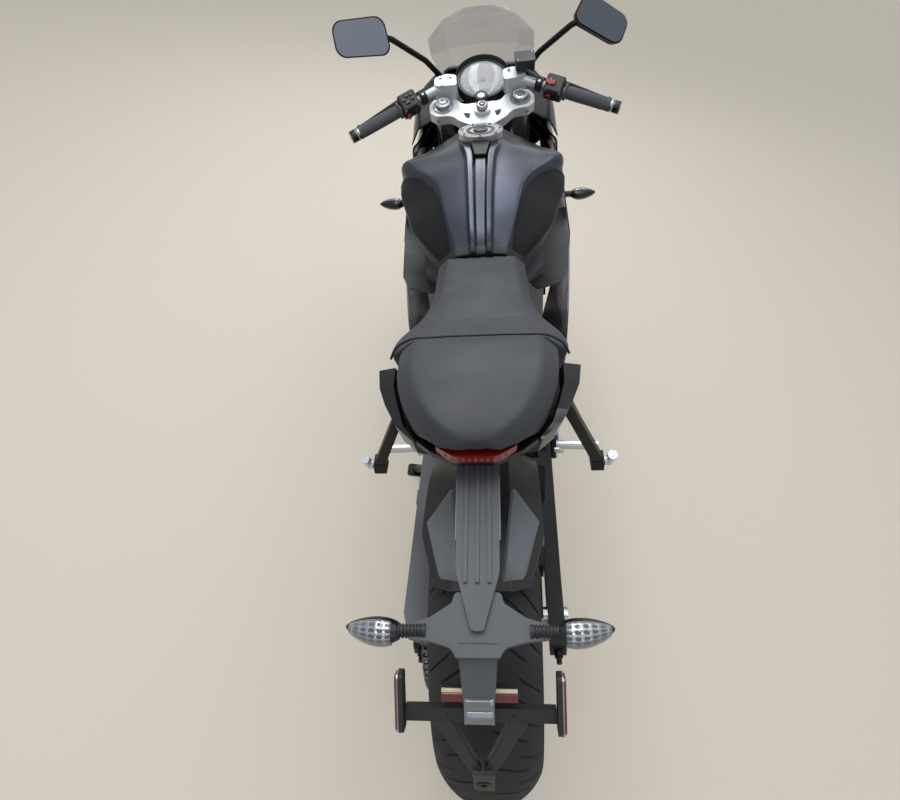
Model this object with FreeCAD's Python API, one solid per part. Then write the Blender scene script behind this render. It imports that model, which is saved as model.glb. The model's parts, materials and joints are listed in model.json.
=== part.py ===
import FreeCAD
import Part
import math
import os

# A middleweight sport motorcycle, parked on its side stand with the bars turned a little to the left.
# All sizes are millimetres. The bike is drawn upright: +X right, +Y forward, +Z up, with Y = 0 at the
# rear axle and Z = 0 at the ground. The fork is drawn upright too, in a frame whose +Z is the steering
# axis. At the end every piece is leaned over, stood on its tyres and stand, and centred on its box.

V = FreeCAD.Vector
X_AXIS = V(1, 0, 0)
Y_AXIS = V(0, 1, 0)
Z_AXIS = V(0, 0, 1)

# Stance
wheelbase = 1425.0
rake = 23.8
trail = 85.0
lean = 11.0
steer_rest = 3.5
seat_gap = 0.3
running_gap = 0.1

# Tyres and rims: flats round a tyre, an angle between the crown's middle and its edge; then each tyre's outer
# radius, section width, radius of the crown and half width between the beads
tyre_sides = 64
crown_middle = 36.0
rim_radius = 216.0
rim_lip = 14.0
tyre_wall = 9.0
rear_tyre = dict(radius=315.0, width=180.0, crown=98.0, bead=66.0)
front_tyre = dict(radius=300.0, width=120.0, crown=64.0, bead=44.0)
rear_hub_radius = 40.0
rear_hub_half = 82.0
front_hub_radius = 32.0
front_hub_half = 58.0
spoke_half = 13.0
rear_axle_radius = 12.0
front_axle_radius = 11.0
axle_bore_radius = 8.0
axle_bore_depth = 30.0

# Brakes
front_disc_radius = 155.0
rear_disc_radius = 110.0
disc_thickness = 4.5
pad_gap = 1.5

# Fork and yokes, in the steering frame
fork_spacing = 206.0
fork_offset = 33.0
fork_outer_radius = 27.0
fork_inner_radius = 20.5
fork_top = 1046.0
fork_outer_bottom = 575.0
top_yoke_top = 1042.0
top_yoke_thick = 26.0
bottom_yoke_top = 800.0
bottom_yoke_thick = 30.0
head_tube_radius = 30.0
stem_radius = 15.0
stem_bore_radius = 8.5
stem_bore_depth = 30.0

# Handlebars, in the steering frame: inner end and outer end of the right bar
bar_inner = V(84, 82, 1074)
bar_outer = V(343, -38, 1040)
bar_radius = 11.0
grip_radius = 17.0
grip_length = 122.0

# Drive line and swingarm
pivot_bolt_radius = 12.0
pivot_y = 520.0
pivot_z = 385.0
arm_inner_left = -123.0
arm_inner_right = 113.0
arm_outer = 143.0
brace_top = 415.0
frame_lug_inner = 62.0
frame_lug_outer = 86.0
chain_x = -109.0
chain_width = 18.0
chain_height = 15.0
chain_gap = 2.5
sprocket_thickness = 6.0
rear_sprocket_radius = 116.0
front_sprocket_radius = 40.0
front_sprocket_y = 600.0
front_sprocket_z = 400.0
bobbin_radius = 3.4
bobbin_depth = 18.0
bobbin_y = 60.0

# Skins
skin = 4.0
guard_gap = 12.0
trim_height = 706.0
hugger_half = 110.0

# Seats and tank
seat_base = 768.0
pillion_base = 800.0
lamp_base = 808.0
lamp_top = 820.0
tank_rear = 500.0
tank_base = 775.0
cap_y = 850.0
cap_top = 968.0
cap_radius = 52.0
cap_lid_radius = 40.0

# Rear mudguard hanger: top under the tail, knee at the indicators, tip at the neck of the plate carrier
hanger_top = V(0, 40, 776)
hanger_knee = V(0, -240, 692)
hanger_tip = V(0, -312, 604)
wing_root = V(0, -192, 706)
neck_root = V(0, -258, 684)
neck_length = 91.0
indicator_root = V(92, -238, 691)

# Plate carrier
plate_boss = V(0, -334, 484)
plate_boss_depth = 20.0
plate_bolt = V(0, -334, 478)
plate_bolt_radius = 4.0

# Instrument
instrument_centre = V(0, 1262, 990)
instrument_depth = 26.0
instrument_radius = 72.0
instrument_tilt = 30.0

# Peg hangers
hanger_plate_x = 148.0
hanger_plate_thick = 9.0

# Rear shock
shock_cross = V(0, 606, 660)
shock_eye_radius = 15.0

# Side stand
stand_pivot = V(-150, 470, 250)
stand_foot_y = 640.0
stand_foot_x = -240.0
stand_axis_tilt = 20.0
stand_leg_radius = 11.0
stand_eye_half = 9.0
stand_bolt_radius = 8.0


def side(x):
    """Maps an outline drawn from the side, (y, z), onto the plane at x."""
    return lambda u, v: V(x, u, v)


def above(z):
    """Maps an outline drawn from above, (x, y), onto the plane at z."""
    return lambda u, v: V(u, v, z)


def across(y):
    """Maps an outline drawn from the front, (x, z), onto the plane at y."""
    return lambda u, v: V(u, y, v)


def outline(points, plane, default=0.0):
    """A closed wire of straight runs. A third number on a point rounds that corner to its radius."""
    corners = [(plane(p[0], p[1]), p[2] if len(p) > 2 else default) for p in points]
    count = len(corners)
    starts = []
    edges = []
    for i, (here, radius) in enumerate(corners):
        before = corners[i - 1][0]
        after = corners[(i + 1) % count][0]
        if radius <= 0:
            starts.append((here, None, here))
            continue
        to_before = (before - here).normalize()
        to_after = (after - here).normalize()
        half = to_before.getAngle(to_after) / 2
        reach = radius / math.tan(half)
        centre = here + (to_before + to_after).normalize() * (radius / math.sin(half))
        middle = centre + (here - centre).normalize() * radius
        starts.append((here + to_before * reach, middle, here + to_after * reach))
    for i, (first, middle, last) in enumerate(starts):
        if middle is not None:
            edges.append(Part.Arc(first, middle, last).toShape())
        following = starts[(i + 1) % count][0]
        edges.append(Part.LineSegment(last, following).toShape())
    return Part.Wire(edges)


def plate(points, plane, thickness, default=0.0):
    """A flat plate of that outline, thickened along the plane's own normal."""
    origin = plane(0, 0)
    normal = (plane(1, 0) - origin).cross(plane(0, 1) - origin)
    return Part.Face(outline(points, plane, default)).extrude(normal * thickness)


def section(y, half, default=0.0):
    """A closed section across the bike at y, from the right half's (x, z, radius) points, top to bottom."""
    left = [(-p[0],) + tuple(p[1:]) for p in reversed(half)]
    return outline(list(half) + left, across(y), default)


def loft(wires, ruled=False):
    return Part.makeLoft(wires, True, ruled)


def rod(start, end, radius):
    return Part.makeCylinder(radius, (end - start).Length, start, end - start)


def cone(start, end, radius_start, radius_end):
    return Part.makeCone(radius_start, radius_end, (end - start).Length, start, end - start)


def tube(points, radius, bends):
    """A round bar along straight runs joined by tangent arcs of the given bend radii."""
    edges = []
    last = points[0]
    for i in range(1, len(points) - 1):
        here = points[i]
        to_before = (points[i - 1] - here).normalize()
        to_after = (points[i + 1] - here).normalize()
        half = to_before.getAngle(to_after) / 2
        bend = bends[i - 1]
        reach = bend / math.tan(half)
        centre = here + (to_before + to_after).normalize() * (bend / math.sin(half))
        middle = centre + (here - centre).normalize() * bend
        first = here + to_before * reach
        edges.append(Part.LineSegment(last, first).toShape())
        last = here + to_after * reach
        edges.append(Part.Arc(first, middle, last).toShape())
    edges.append(Part.LineSegment(last, points[-1]).toShape())
    path = Part.Wire(edges)
    circle = Part.Wire(Part.Circle(points[0], points[1] - points[0], radius).toShape())
    return path.makePipeShell([circle], True, False)


def spin_x(points, centre):
    """A ring turned about an axle along X. Points are (x, radius) or (x, radius, via x, via radius) for an arc."""
    edges = []
    count = len(points)
    for i, p in enumerate(points):
        after = points[(i + 1) % count]
        start = V(p[0], 0, p[1])
        end = V(after[0], 0, after[1])
        if len(after) > 2:
            edges.append(Part.Arc(start, V(after[2], 0, after[3]), end).toShape())
        else:
            edges.append(Part.LineSegment(start, end).toShape())
    ring = Part.Face(Part.Wire(edges)).revolve(V(0, 0, 0), X_AXIS, 360)
    ring.translate(centre)
    return ring


def mirrored(shape):
    return shape.mirror(V(0, 0, 0), X_AXIS)


def both(shape):
    """The piece and its mirror image, as one compound."""
    return Part.Compound(solids_of(shape) + solids_of(mirrored(shape)))


def solids_of(shape):
    return list(shape.Solids)


def joined(first, *others):
    return first.fuse(list(others)).removeSplitter()


def group(*shapes):
    """Solids that do not touch, kept in one node."""
    return Part.Compound([s for shape in shapes for s in solids_of(shape)])


def largest(shape):
    """The biggest solid of a shape that a cut has left in pieces."""
    return max(shape.Solids, key=lambda solid: solid.Volume)


# Centres of the wheels in the upright bike
rear_axle = V(0, 0, rear_tyre["radius"])
front_axle = V(0, wheelbase, front_tyre["radius"])

# The steering frame: its origin is where the steering axis meets the ground
steer_base = V(0, wheelbase + trail, 0)
steer_tilt = FreeCAD.Rotation(X_AXIS, rake)
steer_axis = steer_tilt.multVec(Z_AXIS)
axle_in_steer = steer_tilt.inverted().multVec(front_axle - steer_base)


# Wheels

def tyre(radius, width, crown, bead, centre):
    """A hollow tyre of flat faces: straight beads, bulged sidewalls and a round crown."""
    shoulder_x = width / 2 - 3
    shoulder_r = radius - crown + math.sqrt(crown ** 2 - shoulder_x ** 2)
    bead_top = rim_radius + rim_lip + 2
    seat = rim_radius / math.cos(math.pi / tyre_sides)
    outside = [(bead, seat), (bead, bead_top), (width / 2, (bead_top + shoulder_r) / 2),
        (shoulder_x, shoulder_r)]
    for degrees in (crown_middle, lean):
        angle = math.radians(degrees)
        outside.append((crown * math.sin(angle), radius - crown + crown * math.cos(angle)))
    inside = [(bead - tyre_wall, seat), (bead - tyre_wall, bead_top),
        (shoulder_x - tyre_wall, shoulder_r - tyre_wall / 2)]
    points = outside + [(0, radius)] + [(-x, r) for x, r in reversed(outside)]
    points += [(-x, r) for x, r in inside] + list(reversed(inside))
    return faceted_ring(points, centre)


def faceted_ring(points, centre):
    """A ring about an axle along X, of flat faces, with one row of corners straight down."""
    rows = []
    for i in range(tyre_sides):
        angle = 2 * math.pi * i / tyre_sides - math.pi / 2
        rows.append([centre + V(x, r * math.cos(angle), r * math.sin(angle)) for x, r in points])
    faces = []
    for i, here in enumerate(rows):
        after = rows[(i + 1) % tyre_sides]
        for j in range(len(points)):
            k = (j + 1) % len(points)
            faces.append(Part.Face(Part.makePolygon([here[j], after[j], after[k], here[k], here[j]])))
    return Part.Solid(Part.Shell(faces))


def rim(bead, hub_radius, hub_half, bore, centre):
    """A cast wheel: rim barrel, bored hub and five spokes that fork towards the rim."""
    seat = rim_radius - seat_gap
    lip = bead + 5
    inside = bead + seat_gap
    well = bead - 22
    barrel = spin_x([
        (-lip, rim_radius + rim_lip),
        (-inside, rim_radius + rim_lip),
        (-inside, seat),
        (-(bead - 12), seat),
        (-well, seat - 18),
        (well, seat - 18),
        (bead - 12, seat),
        (inside, seat),
        (inside, rim_radius + rim_lip),
        (lip, rim_radius + rim_lip),
        (lip, rim_radius - 8),
        (well + 4, rim_radius - 28),
        (-well - 4, rim_radius - 28),
        (-lip, rim_radius - 8),
    ], V(0, 0, 0))
    hub = Part.makeCylinder(hub_radius, 2 * hub_half, V(-hub_half, 0, 0), X_AXIS)
    outer = rim_radius - 22
    fork_r = 112
    spoke = plate([
        (-17, hub_radius - 8), (17, hub_radius - 8), (13, fork_r), (40, outer), (22, outer + 4),
        (0, fork_r + 34, 5), (-22, outer + 4), (-40, outer), (-13, fork_r),
    ], side(-spoke_half), 2 * spoke_half)
    spokes = []
    for i in range(5):
        one = spoke.copy()
        one.rotate(V(0, 0, 0), X_AXIS, 72 * i)
        spokes.append(one)
    wheel = joined(barrel, hub, *spokes)
    wheel = wheel.cut(Part.makeCylinder(bore, 4 * hub_half, V(-2 * hub_half, 0, 0), X_AXIS))
    wheel.translate(centre)
    return wheel


def brake_disc(radius, inner, carrier, hub_hole, x, centre):
    """A brake disc on a spoked carrier that fits round the hub."""
    track = Part.makeCylinder(radius, disc_thickness, V(x, 0, 0), X_AXIS)
    track = track.cut(Part.makeCylinder(inner, disc_thickness, V(x, 0, 0), X_AXIS))
    middle = Part.makeCylinder(carrier, disc_thickness, V(x, 0, 0), X_AXIS)
    arms = []
    for i in range(6):
        arm = Part.makeBox(disc_thickness, 14, inner + 4, V(x, -7, 0))
        arm.rotate(V(0, 0, 0), X_AXIS, 60 * i)
        arms.append(arm)
    disc = joined(track, middle, *arms)
    disc = disc.cut(Part.makeCylinder(hub_hole, disc_thickness, V(x, 0, 0), X_AXIS))
    disc.translate(centre)
    return disc


def front_wheel_nodes():
    size = front_tyre
    hub_step = 22.0
    rim_shape = rim(size["bead"], front_hub_radius, front_hub_half, front_axle_radius + running_gap,
        front_axle)
    disc = brake_disc(front_disc_radius, 122, 46, hub_step, front_hub_half, front_axle)
    other = brake_disc(front_disc_radius, 122, 46, hub_step, -front_hub_half - disc_thickness, front_axle)
    return {
        "front_tyre": tyre(centre=front_axle, **size),
        "front_rim": rim_shape,
        "front_discs": group(disc, other),
    }


def rear_wheel_nodes():
    size = rear_tyre
    sprocket_x = chain_x - sprocket_thickness / 2
    hub_end = -(sprocket_x + sprocket_thickness)
    hub = rim(size["bead"], rear_hub_radius, rear_hub_half, rear_axle_radius + running_gap, rear_axle)
    carrier = Part.makeCylinder(56, hub_end - rear_hub_half, V(-hub_end, 0, 0), X_AXIS)
    carrier = carrier.cut(Part.makeCylinder(rear_axle_radius + 4, hub_end, V(-hub_end, 0, 0), X_AXIS))
    carrier.translate(rear_axle)
    return {
        "rear_tyre": tyre(centre=rear_axle, **size),
        "rear_rim": hub,
        "rear_disc": brake_disc(rear_disc_radius, 82, 50, 30, rear_hub_half, rear_axle),
        "rear_sprocket": joined(sprocket(sprocket_x), carrier),
    }


def sprocket(x):
    """The rear sprocket: a toothed ring on five arms."""
    teeth = 48
    tip = rear_sprocket_radius + 1
    root = rear_sprocket_radius - 5
    points = []
    for i in range(teeth):
        for share, radius in ((-0.34, root), (-0.14, tip), (0.14, tip), (0.34, root)):
            angle = 2 * math.pi * (i + share) / teeth
            points.append((radius * math.cos(angle), radius * math.sin(angle)))
    wheel = plate(points, side(x), sprocket_thickness)
    wheel = wheel.cut(Part.makeCylinder(rear_axle_radius + 4, sprocket_thickness, V(x, 0, 0), X_AXIS))
    for i in range(5):
        angle = 2 * math.pi * i / 5
        hole = Part.makeCylinder(19, sprocket_thickness, V(x, 80 * math.cos(angle), 80 * math.sin(angle)),
            X_AXIS)
        wheel = wheel.cut(hole)
    wheel.translate(rear_axle)
    return wheel


# Fork, drawn in the steering frame

def fork_nodes():
    x = fork_spacing / 2
    axle_y = axle_in_steer.y
    axle_z = axle_in_steer.z
    outer = Part.makeCylinder(fork_outer_radius, fork_top - fork_outer_bottom,
        V(x, fork_offset, fork_outer_bottom))
    cap = Part.makeCylinder(19, 9, V(x, fork_offset, fork_top))
    outer = joined(outer, cap)
    inner_top = fork_outer_bottom + 40
    outer = outer.cut(Part.makeCylinder(fork_inner_radius + running_gap, 42,
        V(x, fork_offset, fork_outer_bottom - 1)))
    inner = Part.makeCylinder(fork_inner_radius, inner_top - axle_z - 36, V(x, fork_offset, axle_z + 35))
    lug_half = 16.0
    lug = plate([
        (axle_y - 26, axle_z - 24, 12), (axle_y + 24, axle_z - 24, 18), (axle_y + 24, axle_z + 22, 16),
        (fork_offset + 23, axle_z + 60, 4), (fork_offset - 23, axle_z + 60, 4),
        (axle_y - 34, axle_z + 10, 10),
    ], side(x - lug_half), 2 * lug_half)
    axle_bore = Part.makeCylinder(front_axle_radius + 0.05, 60, V(x - 30, axle_y, axle_z), X_AXIS)
    slider = joined(inner, lug).cut(axle_bore)
    axle_half = x + lug_half + 4
    axle = Part.makeCylinder(front_axle_radius, 2 * axle_half, V(-axle_half, axle_y, axle_z), X_AXIS)
    nut = Part.makeCylinder(15, 5, V(x + lug_half, axle_y, axle_z), X_AXIS)
    spacer_start = front_hub_half + 0.5
    spacer = Part.makeCylinder(16, x - lug_half - spacer_start, V(spacer_start, axle_y, axle_z), X_AXIS)
    axle = joined(axle, nut, mirrored(nut), spacer, mirrored(spacer))
    mouth = x + lug_half + 5
    axle = axle.cut(Part.makeCylinder(axle_bore_radius, axle_bore_depth, V(mouth, axle_y, axle_z),
        V(-1, 0, 0)))
    return {
        "fork_tubes": both(outer),
        "fork_sliders": both(slider),
        "front_axle": axle,
        "top_yoke": top_yoke(x),
        "bottom_yoke": bottom_yoke(x),
        "front_calipers": both(front_caliper(x)),
        "front_mudguard": front_mudguard(),
    }


def top_yoke(x):
    """The cast top yoke: fork clamps, a waisted web with two windows, and a pointed tail."""
    bottom = top_yoke_top - top_yoke_thick
    half = [(0, -64), (26, -52), (60, -30), (x - 22, -6), (x + 20, -2), (x + 37, 14), (x + 38, 42),
            (x + 24, 64), (x - 8, 72), (x - 34, 60), (46, 26), (30, 34)]
    radii = [8, 10, 30, 30, 14, 14, 16, 16, 16, 18, 26, 14]
    right = [(px, py, r) for (px, py), r in zip(half, radii)]
    left = [(-px, py, r) for px, py, r in reversed(right[1:])]
    web = plate(right + left, above(bottom), top_yoke_thick)
    for cx in (x, -x):
        web = web.cut(Part.makeCylinder(fork_outer_radius + 0.05, 80, V(cx, fork_offset, bottom - 20)))
    for sign in (1, -1):
        window = plate([(sign * 32, -4, 3), (sign * 52, 2, 3), (sign * 44, -20, 3), (sign * 36, -24, 3)],
                       above(bottom - 1), top_yoke_thick + 2)
        web = web.cut(window)
    nut = Part.makeCylinder(21, 9, V(0, 0, top_yoke_top))
    lock = Part.makeCylinder(17, 34, V(0, 48, bottom))
    neck = Part.makeBox(24, 30, 16, V(-12, 22, bottom))
    yoke = joined(web, nut, lock, neck)
    return yoke.cut(Part.makeCylinder(9, 20, V(0, 0, top_yoke_top - 6)))


def bottom_yoke(x):
    """The bottom yoke with the steering stem, bored from below."""
    bottom = bottom_yoke_top - bottom_yoke_thick
    half = [(40, -38, 16), (x - 10, -6, 20), (x + 34, 6, 16), (x + 34, 56, 20), (x - 30, 66, 20),
        (36, 40, 20)]
    left = [(-px, py, r) for px, py, r in reversed(half)]
    web = plate(half + left, above(bottom), bottom_yoke_thick)
    for cx in (x, -x):
        web = web.cut(Part.makeCylinder(fork_outer_radius + 0.05, 80, V(cx, fork_offset, bottom - 20)))
    stem_top = top_yoke_top - top_yoke_thick
    stem = Part.makeCylinder(stem_radius, stem_top - bottom - seat_gap, V(0, 0, bottom))
    yoke = joined(web, stem)
    return yoke.cut(Part.makeCylinder(stem_bore_radius, stem_bore_depth, V(0, 0, bottom)))


def front_caliper(x):
    """A radial four-piston caliper over the disc, on two lugs of the slider."""
    disc_in = front_hub_half
    disc_out = front_hub_half + disc_thickness
    axle_y = axle_in_steer.y
    axle_z = axle_in_steer.z
    centre_y = axle_y - 118
    centre_z = axle_z + 86
    body = Part.makeBox(46, 44, 108, V(disc_in - 17, -22, -54))
    slot = Part.makeBox(disc_thickness + 2 * pad_gap, 50, 110, V(disc_in - pad_gap, -14, -55))
    body = body.cut(slot)
    stay = Part.makeBox(12, 34, 84, V(disc_out + 12.5, 20, -42))
    caliper = joined(body, stay)
    caliper.rotate(V(0, 0, 0), X_AXIS, -36)
    caliper.translate(V(0, centre_y, centre_z))
    arm = rod(V(disc_out + 18, centre_y + 22, centre_z - 16), V(x - 6, fork_offset - 12, axle_z + 40), 9)
    arm_high = rod(V(disc_out + 18, centre_y + 40, centre_z + 30), V(x - 6, fork_offset - 8, axle_z + 96), 9)
    leg = Part.makeCylinder(fork_inner_radius + seat_gap, 300, V(x, fork_offset, axle_z))
    lug_zone = Part.makeBox(40, 110, 130, V(x - 16.3, axle_y - 60, axle_z - 62))
    return joined(caliper, arm, arm_high).cut(leg).cut(lug_zone)


def front_mudguard():
    """A close front mudguard, an arch over the tyre with a stay down to each slider."""
    inner = front_tyre["radius"] + guard_gap
    half = front_tyre["width"] / 2 + 10
    drop = 34
    start = math.radians(28)
    profile = Part.Wire([
        Part.Arc(V(-half, 0, inner - drop), V(0, 0, inner), V(half, 0, inner - drop)).toShape(),
        Part.LineSegment(V(half, 0, inner - drop), V(half + skin - 1, 0, inner - drop)).toShape(),
        Part.Arc(V(half + skin - 1, 0, inner - drop), V(0, 0, inner + skin - 1),
                 V(-half - skin + 1, 0, inner - drop)).toShape(),
        Part.LineSegment(V(-half - skin + 1, 0, inner - drop), V(-half, 0, inner - drop)).toShape(),
    ])
    arch = Part.Face(profile).revolve(V(0, 0, 0), X_AXIS, 150)
    arch.rotate(V(0, 0, 0), X_AXIS, -math.degrees(start) - 40)
    arch.translate(V(0, axle_in_steer.y, axle_in_steer.z))
    stay = plate([
        (fork_offset - 30, axle_in_steer.z + 205, 6), (fork_offset + 34, axle_in_steer.z + 205, 6),
        (fork_offset + 24, axle_in_steer.z + 295, 8), (fork_offset - 24, axle_in_steer.z + 285, 8),
    ], side(half - 1), skin + 8)
    guard = joined(arch, stay, mirrored(stay))
    for x in (fork_spacing / 2, -fork_spacing / 2):
        guard = guard.cut(Part.makeCylinder(fork_inner_radius + seat_gap, 400,
            V(x, fork_offset, axle_in_steer.z)))
        guard = guard.cut(Part.makeCylinder(fork_outer_radius + 1, 200,
            V(x, fork_offset, fork_outer_bottom - 1)))
    return largest(guard)


def bar_nodes():
    """Handlebars on raised clamps, with grips, switch boxes, levers and the brake reservoir."""
    along = (bar_outer - bar_inner).normalize()
    length = (bar_outer - bar_inner).Length
    grip_start = length - grip_length - 14

    def on_bar(distance):
        return bar_inner + along * distance

    bar = rod(bar_inner, bar_outer, bar_radius)
    clamp = plate([
        (62, 56, 8), (122, 60, 10), (120, 92, 10), (88, 104, 14), (62, 96, 10),
    ], above(top_yoke_top + seat_gap), bar_inner.z + bar_radius - top_yoke_top)
    clamp = clamp.cut(Part.makeCylinder(fork_outer_radius + seat_gap, 60,
        V(fork_spacing / 2, fork_offset, fork_top - 6)))
    bar = joined(bar, clamp)
    weight = rod(on_bar(length - 14), on_bar(length + 12), 15)
    bar = joined(bar, weight)
    grip = rod(on_bar(grip_start), on_bar(length - 15), grip_radius)
    grip = joined(grip, rod(on_bar(grip_start - 4), on_bar(grip_start + 3), grip_radius + 5))
    grip = grip.cut(rod(on_bar(0), on_bar(length + 20), bar_radius + seat_gap))
    box_start = grip_start - 56
    box = Part.makeBox(52, 48, 50, V(-26, -22, 0))
    box = box.makeFillet(7, box.Edges)
    turn = FreeCAD.Rotation(Z_AXIS, along)
    switch = box.copy()
    switch.Placement = FreeCAD.Placement(on_bar(box_start), turn)
    bore = rod(on_bar(0), on_bar(length), bar_radius + seat_gap)
    switch = switch.cut(bore)
    perch_at = on_bar(box_start - 16)
    forward = (V(-along.y, along.x, 0)).normalize()
    perch = rod(perch_at - along * 9, perch_at + along * 9, 19).cut(bore)
    blade_start = perch_at + forward * 34 + Z_AXIS * -16
    arm = rod(perch_at + forward * 12, blade_start, 8)
    blade = tube([
        blade_start - along * 10, blade_start + along * 40 + forward * 24 + Z_AXIS * -4,
        blade_start + along * 180 + forward * 12 + Z_AXIS * -8,
    ], 5.5, [60])
    ball = Part.makeSphere(8, blade_start + along * 180 + forward * 12 + Z_AXIS * -8)
    lever = joined(perch, arm.cut(bore), blade, ball)
    cup_at = V(bar_inner.x + 36, bar_inner.y + 6, bar_inner.z + 15)
    cup = Part.makeBox(50, 40, 30, cup_at - V(25, 20, 0))
    cup = cup.makeFillet(6, cup.Edges)
    stalk_foot = perch_at + V(0, 0, 17)
    stalk = rod(stalk_foot, cup_at + V(10, -6, 6), 5)
    reservoir = joined(cup, stalk)
    return {
        "handlebars": both(bar),
        "grips": both(grip),
        "switch_boxes": both(switch),
        "levers": both(lever),
        "brake_reservoir": reservoir.cut(rod(perch_at - along * 10, perch_at + along * 10, 19 + seat_gap)),
    }


# Chassis

def frame_node():
    """The perimeter frame: head tube, two bent spars, and lugs inside the swingarm for its pivot bolt."""
    tube_bottom = steer_base + steer_axis * (bottom_yoke_top + 4)
    tube_top = steer_base + steer_axis * (top_yoke_top - top_yoke_thick - 6)
    head = rod(tube_bottom, tube_top, head_tube_radius)
    middle = (tube_bottom + tube_top) * 0.5
    from_side = plate([
        (middle.y + 4, middle.z + 48, 6), (middle.y + 22, middle.z - 60, 6), (930, 690, 20),
        (700, 668, 40), (610, 560, 20), (566, 290, 14), (494, 290, 14), (480, 470, 30), (520, 640, 30),
        (640, 740, 30), (700, tank_base - seat_gap, 20), (994, tank_base - seat_gap, 10),
    ], side(0), 200)
    from_above = plate([
        (0, middle.y + 40), (50, middle.y + 26), (124, 940), (142, 760), (138, 640, 20),
        (frame_lug_outer, 590, 10), (frame_lug_outer, 440), (frame_lug_inner, 440),
        (frame_lug_inner, 600, 10), (112, 660, 20), (112, 740), (98, 920), (0, middle.y - 44),
    ], above(200), 900)
    spar = from_side.common(from_above)
    cross = rod(V(-84, shock_cross.y, shock_cross.z), V(84, shock_cross.y, shock_cross.z), shock_eye_radius)
    shape = joined(head, spar, mirrored(spar), cross)
    shape = shape.cut(rod(V(-200, pivot_y, pivot_z), V(200, pivot_y, pivot_z),
        pivot_bolt_radius + running_gap))
    return shape.cut(rod(tube_bottom - steer_axis * 5, tube_top + steer_axis * 5, stem_radius + running_gap))


def subframe_node(frame):
    """The seat subframe: two stepped rails, a front cross beam and a rear tray."""
    rail = plate([
        (575, 690, 8), (575, 726, 8), (480, seat_base - seat_gap, 20), (185.5, seat_base - seat_gap),
        (185.5, pillion_base - seat_gap), (-18, pillion_base - seat_gap, 6), (-24, 782, 6), (160, 770, 30),
        (250, 738, 30), (470, 726, 40), (545, 690, 8),
    ], side(45), 20)
    beam_half = 96
    beam = Part.makeBox(2 * beam_half, 22, 62, V(-beam_half, 552, 660)).cut(frame)
    tray = Part.makeBox(90, 200, 6, V(-45, -18, pillion_base - seat_gap - 6))
    middle = Part.makeBox(90, 26, 22, V(-45, 262, 740))
    return joined(rail, mirrored(rail), beam, tray, middle)


def engine_node(frame):
    """The engine: crankcase, leaning cylinder block and head, with round side covers."""
    case = plate([
        (576, 300, 30), (598, 230, 30), (930, 215, 40), (985, 300, 40), (960, 430, 20), (830, 520, 20),
        (640, 500, 30),
    ], side(-88), 218)
    block = plate([
        (760, 440), (925, 380, 20), (1000, 600, 16), (1000, 660, 4), (985, 674, 10), (870, 708, 20),
        (800, 668, 20),
    ], side(-84), 168)
    clutch = Part.makeCylinder(92, 34, V(129, 720, 350), X_AXIS)
    generator = Part.makeCylinder(74, 36, V(-124, 820, 350), X_AXIS)
    boss = largest(rod(V(80, 868, 692), V(140, 868, 692), 9).cut(frame))
    shaft = rod(V(-88, front_sprocket_y, front_sprocket_z), V(chain_x, front_sprocket_y, front_sprocket_z),
        14)
    gear = rod(V(chain_x - 8, front_sprocket_y, front_sprocket_z),
        V(chain_x + 8, front_sprocket_y, front_sprocket_z),
               front_sprocket_radius)
    return joined(case, block, clutch, generator, boss, mirrored(boss), shaft, gear)


def exhaust_node():
    """Three header pipes down the front of the engine into a collector and a low silencer on the right."""
    pipes = []
    for x in (-48, 0, 48):
        pipes.append(tube([
            V(x, 1000, 636), V(x, 1045, 636), V(x * 0.9, 1012, 300), V(20 + x * 0.5, 975, 172),
            V(40 + x * 0.4, 800, 168),
        ], 17, [30, 120, 50]))
    collector = cone(V(40, 812, 168), V(76, 636, 172), 40, 32)
    can = loft([
        outline([(24, 128, 20), (132, 140, 24), (148, 206, 30), (40, 212, 20)], across(640)),
        outline([(50, 128, 20), (146, 140, 24), (158, 232, 30), (66, 240, 20)], across(500)),
        outline([(76, 146, 20), (152, 156, 24), (162, 240, 30), (90, 244, 20)], across(385)),
    ], True)
    outlet = rod(V(126, 400, 202), V(134, 340, 212), 21).cut(rod(V(127, 392, 203), V(135, 330, 213), 17))
    return joined(pipes[0], pipes[1], pipes[2], collector, can, outlet)


def radiator_node(frame):
    """The radiator, leaned forward, hung by two tabs from the spars."""
    core = Part.makeBox(300, 32, 250, V(-150, 1046, 420))
    tanks = Part.makeBox(24, 40, 262, V(150, 1042, 414))
    core = joined(core, tanks, mirrored(tanks))
    core.rotate(V(0, 1046, 420), X_AXIS, -8)
    tab = largest(Part.makeBox(20, 8, 110, V(36, 1088, 655)).cut(frame))
    return joined(core, tab, mirrored(tab))


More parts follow.
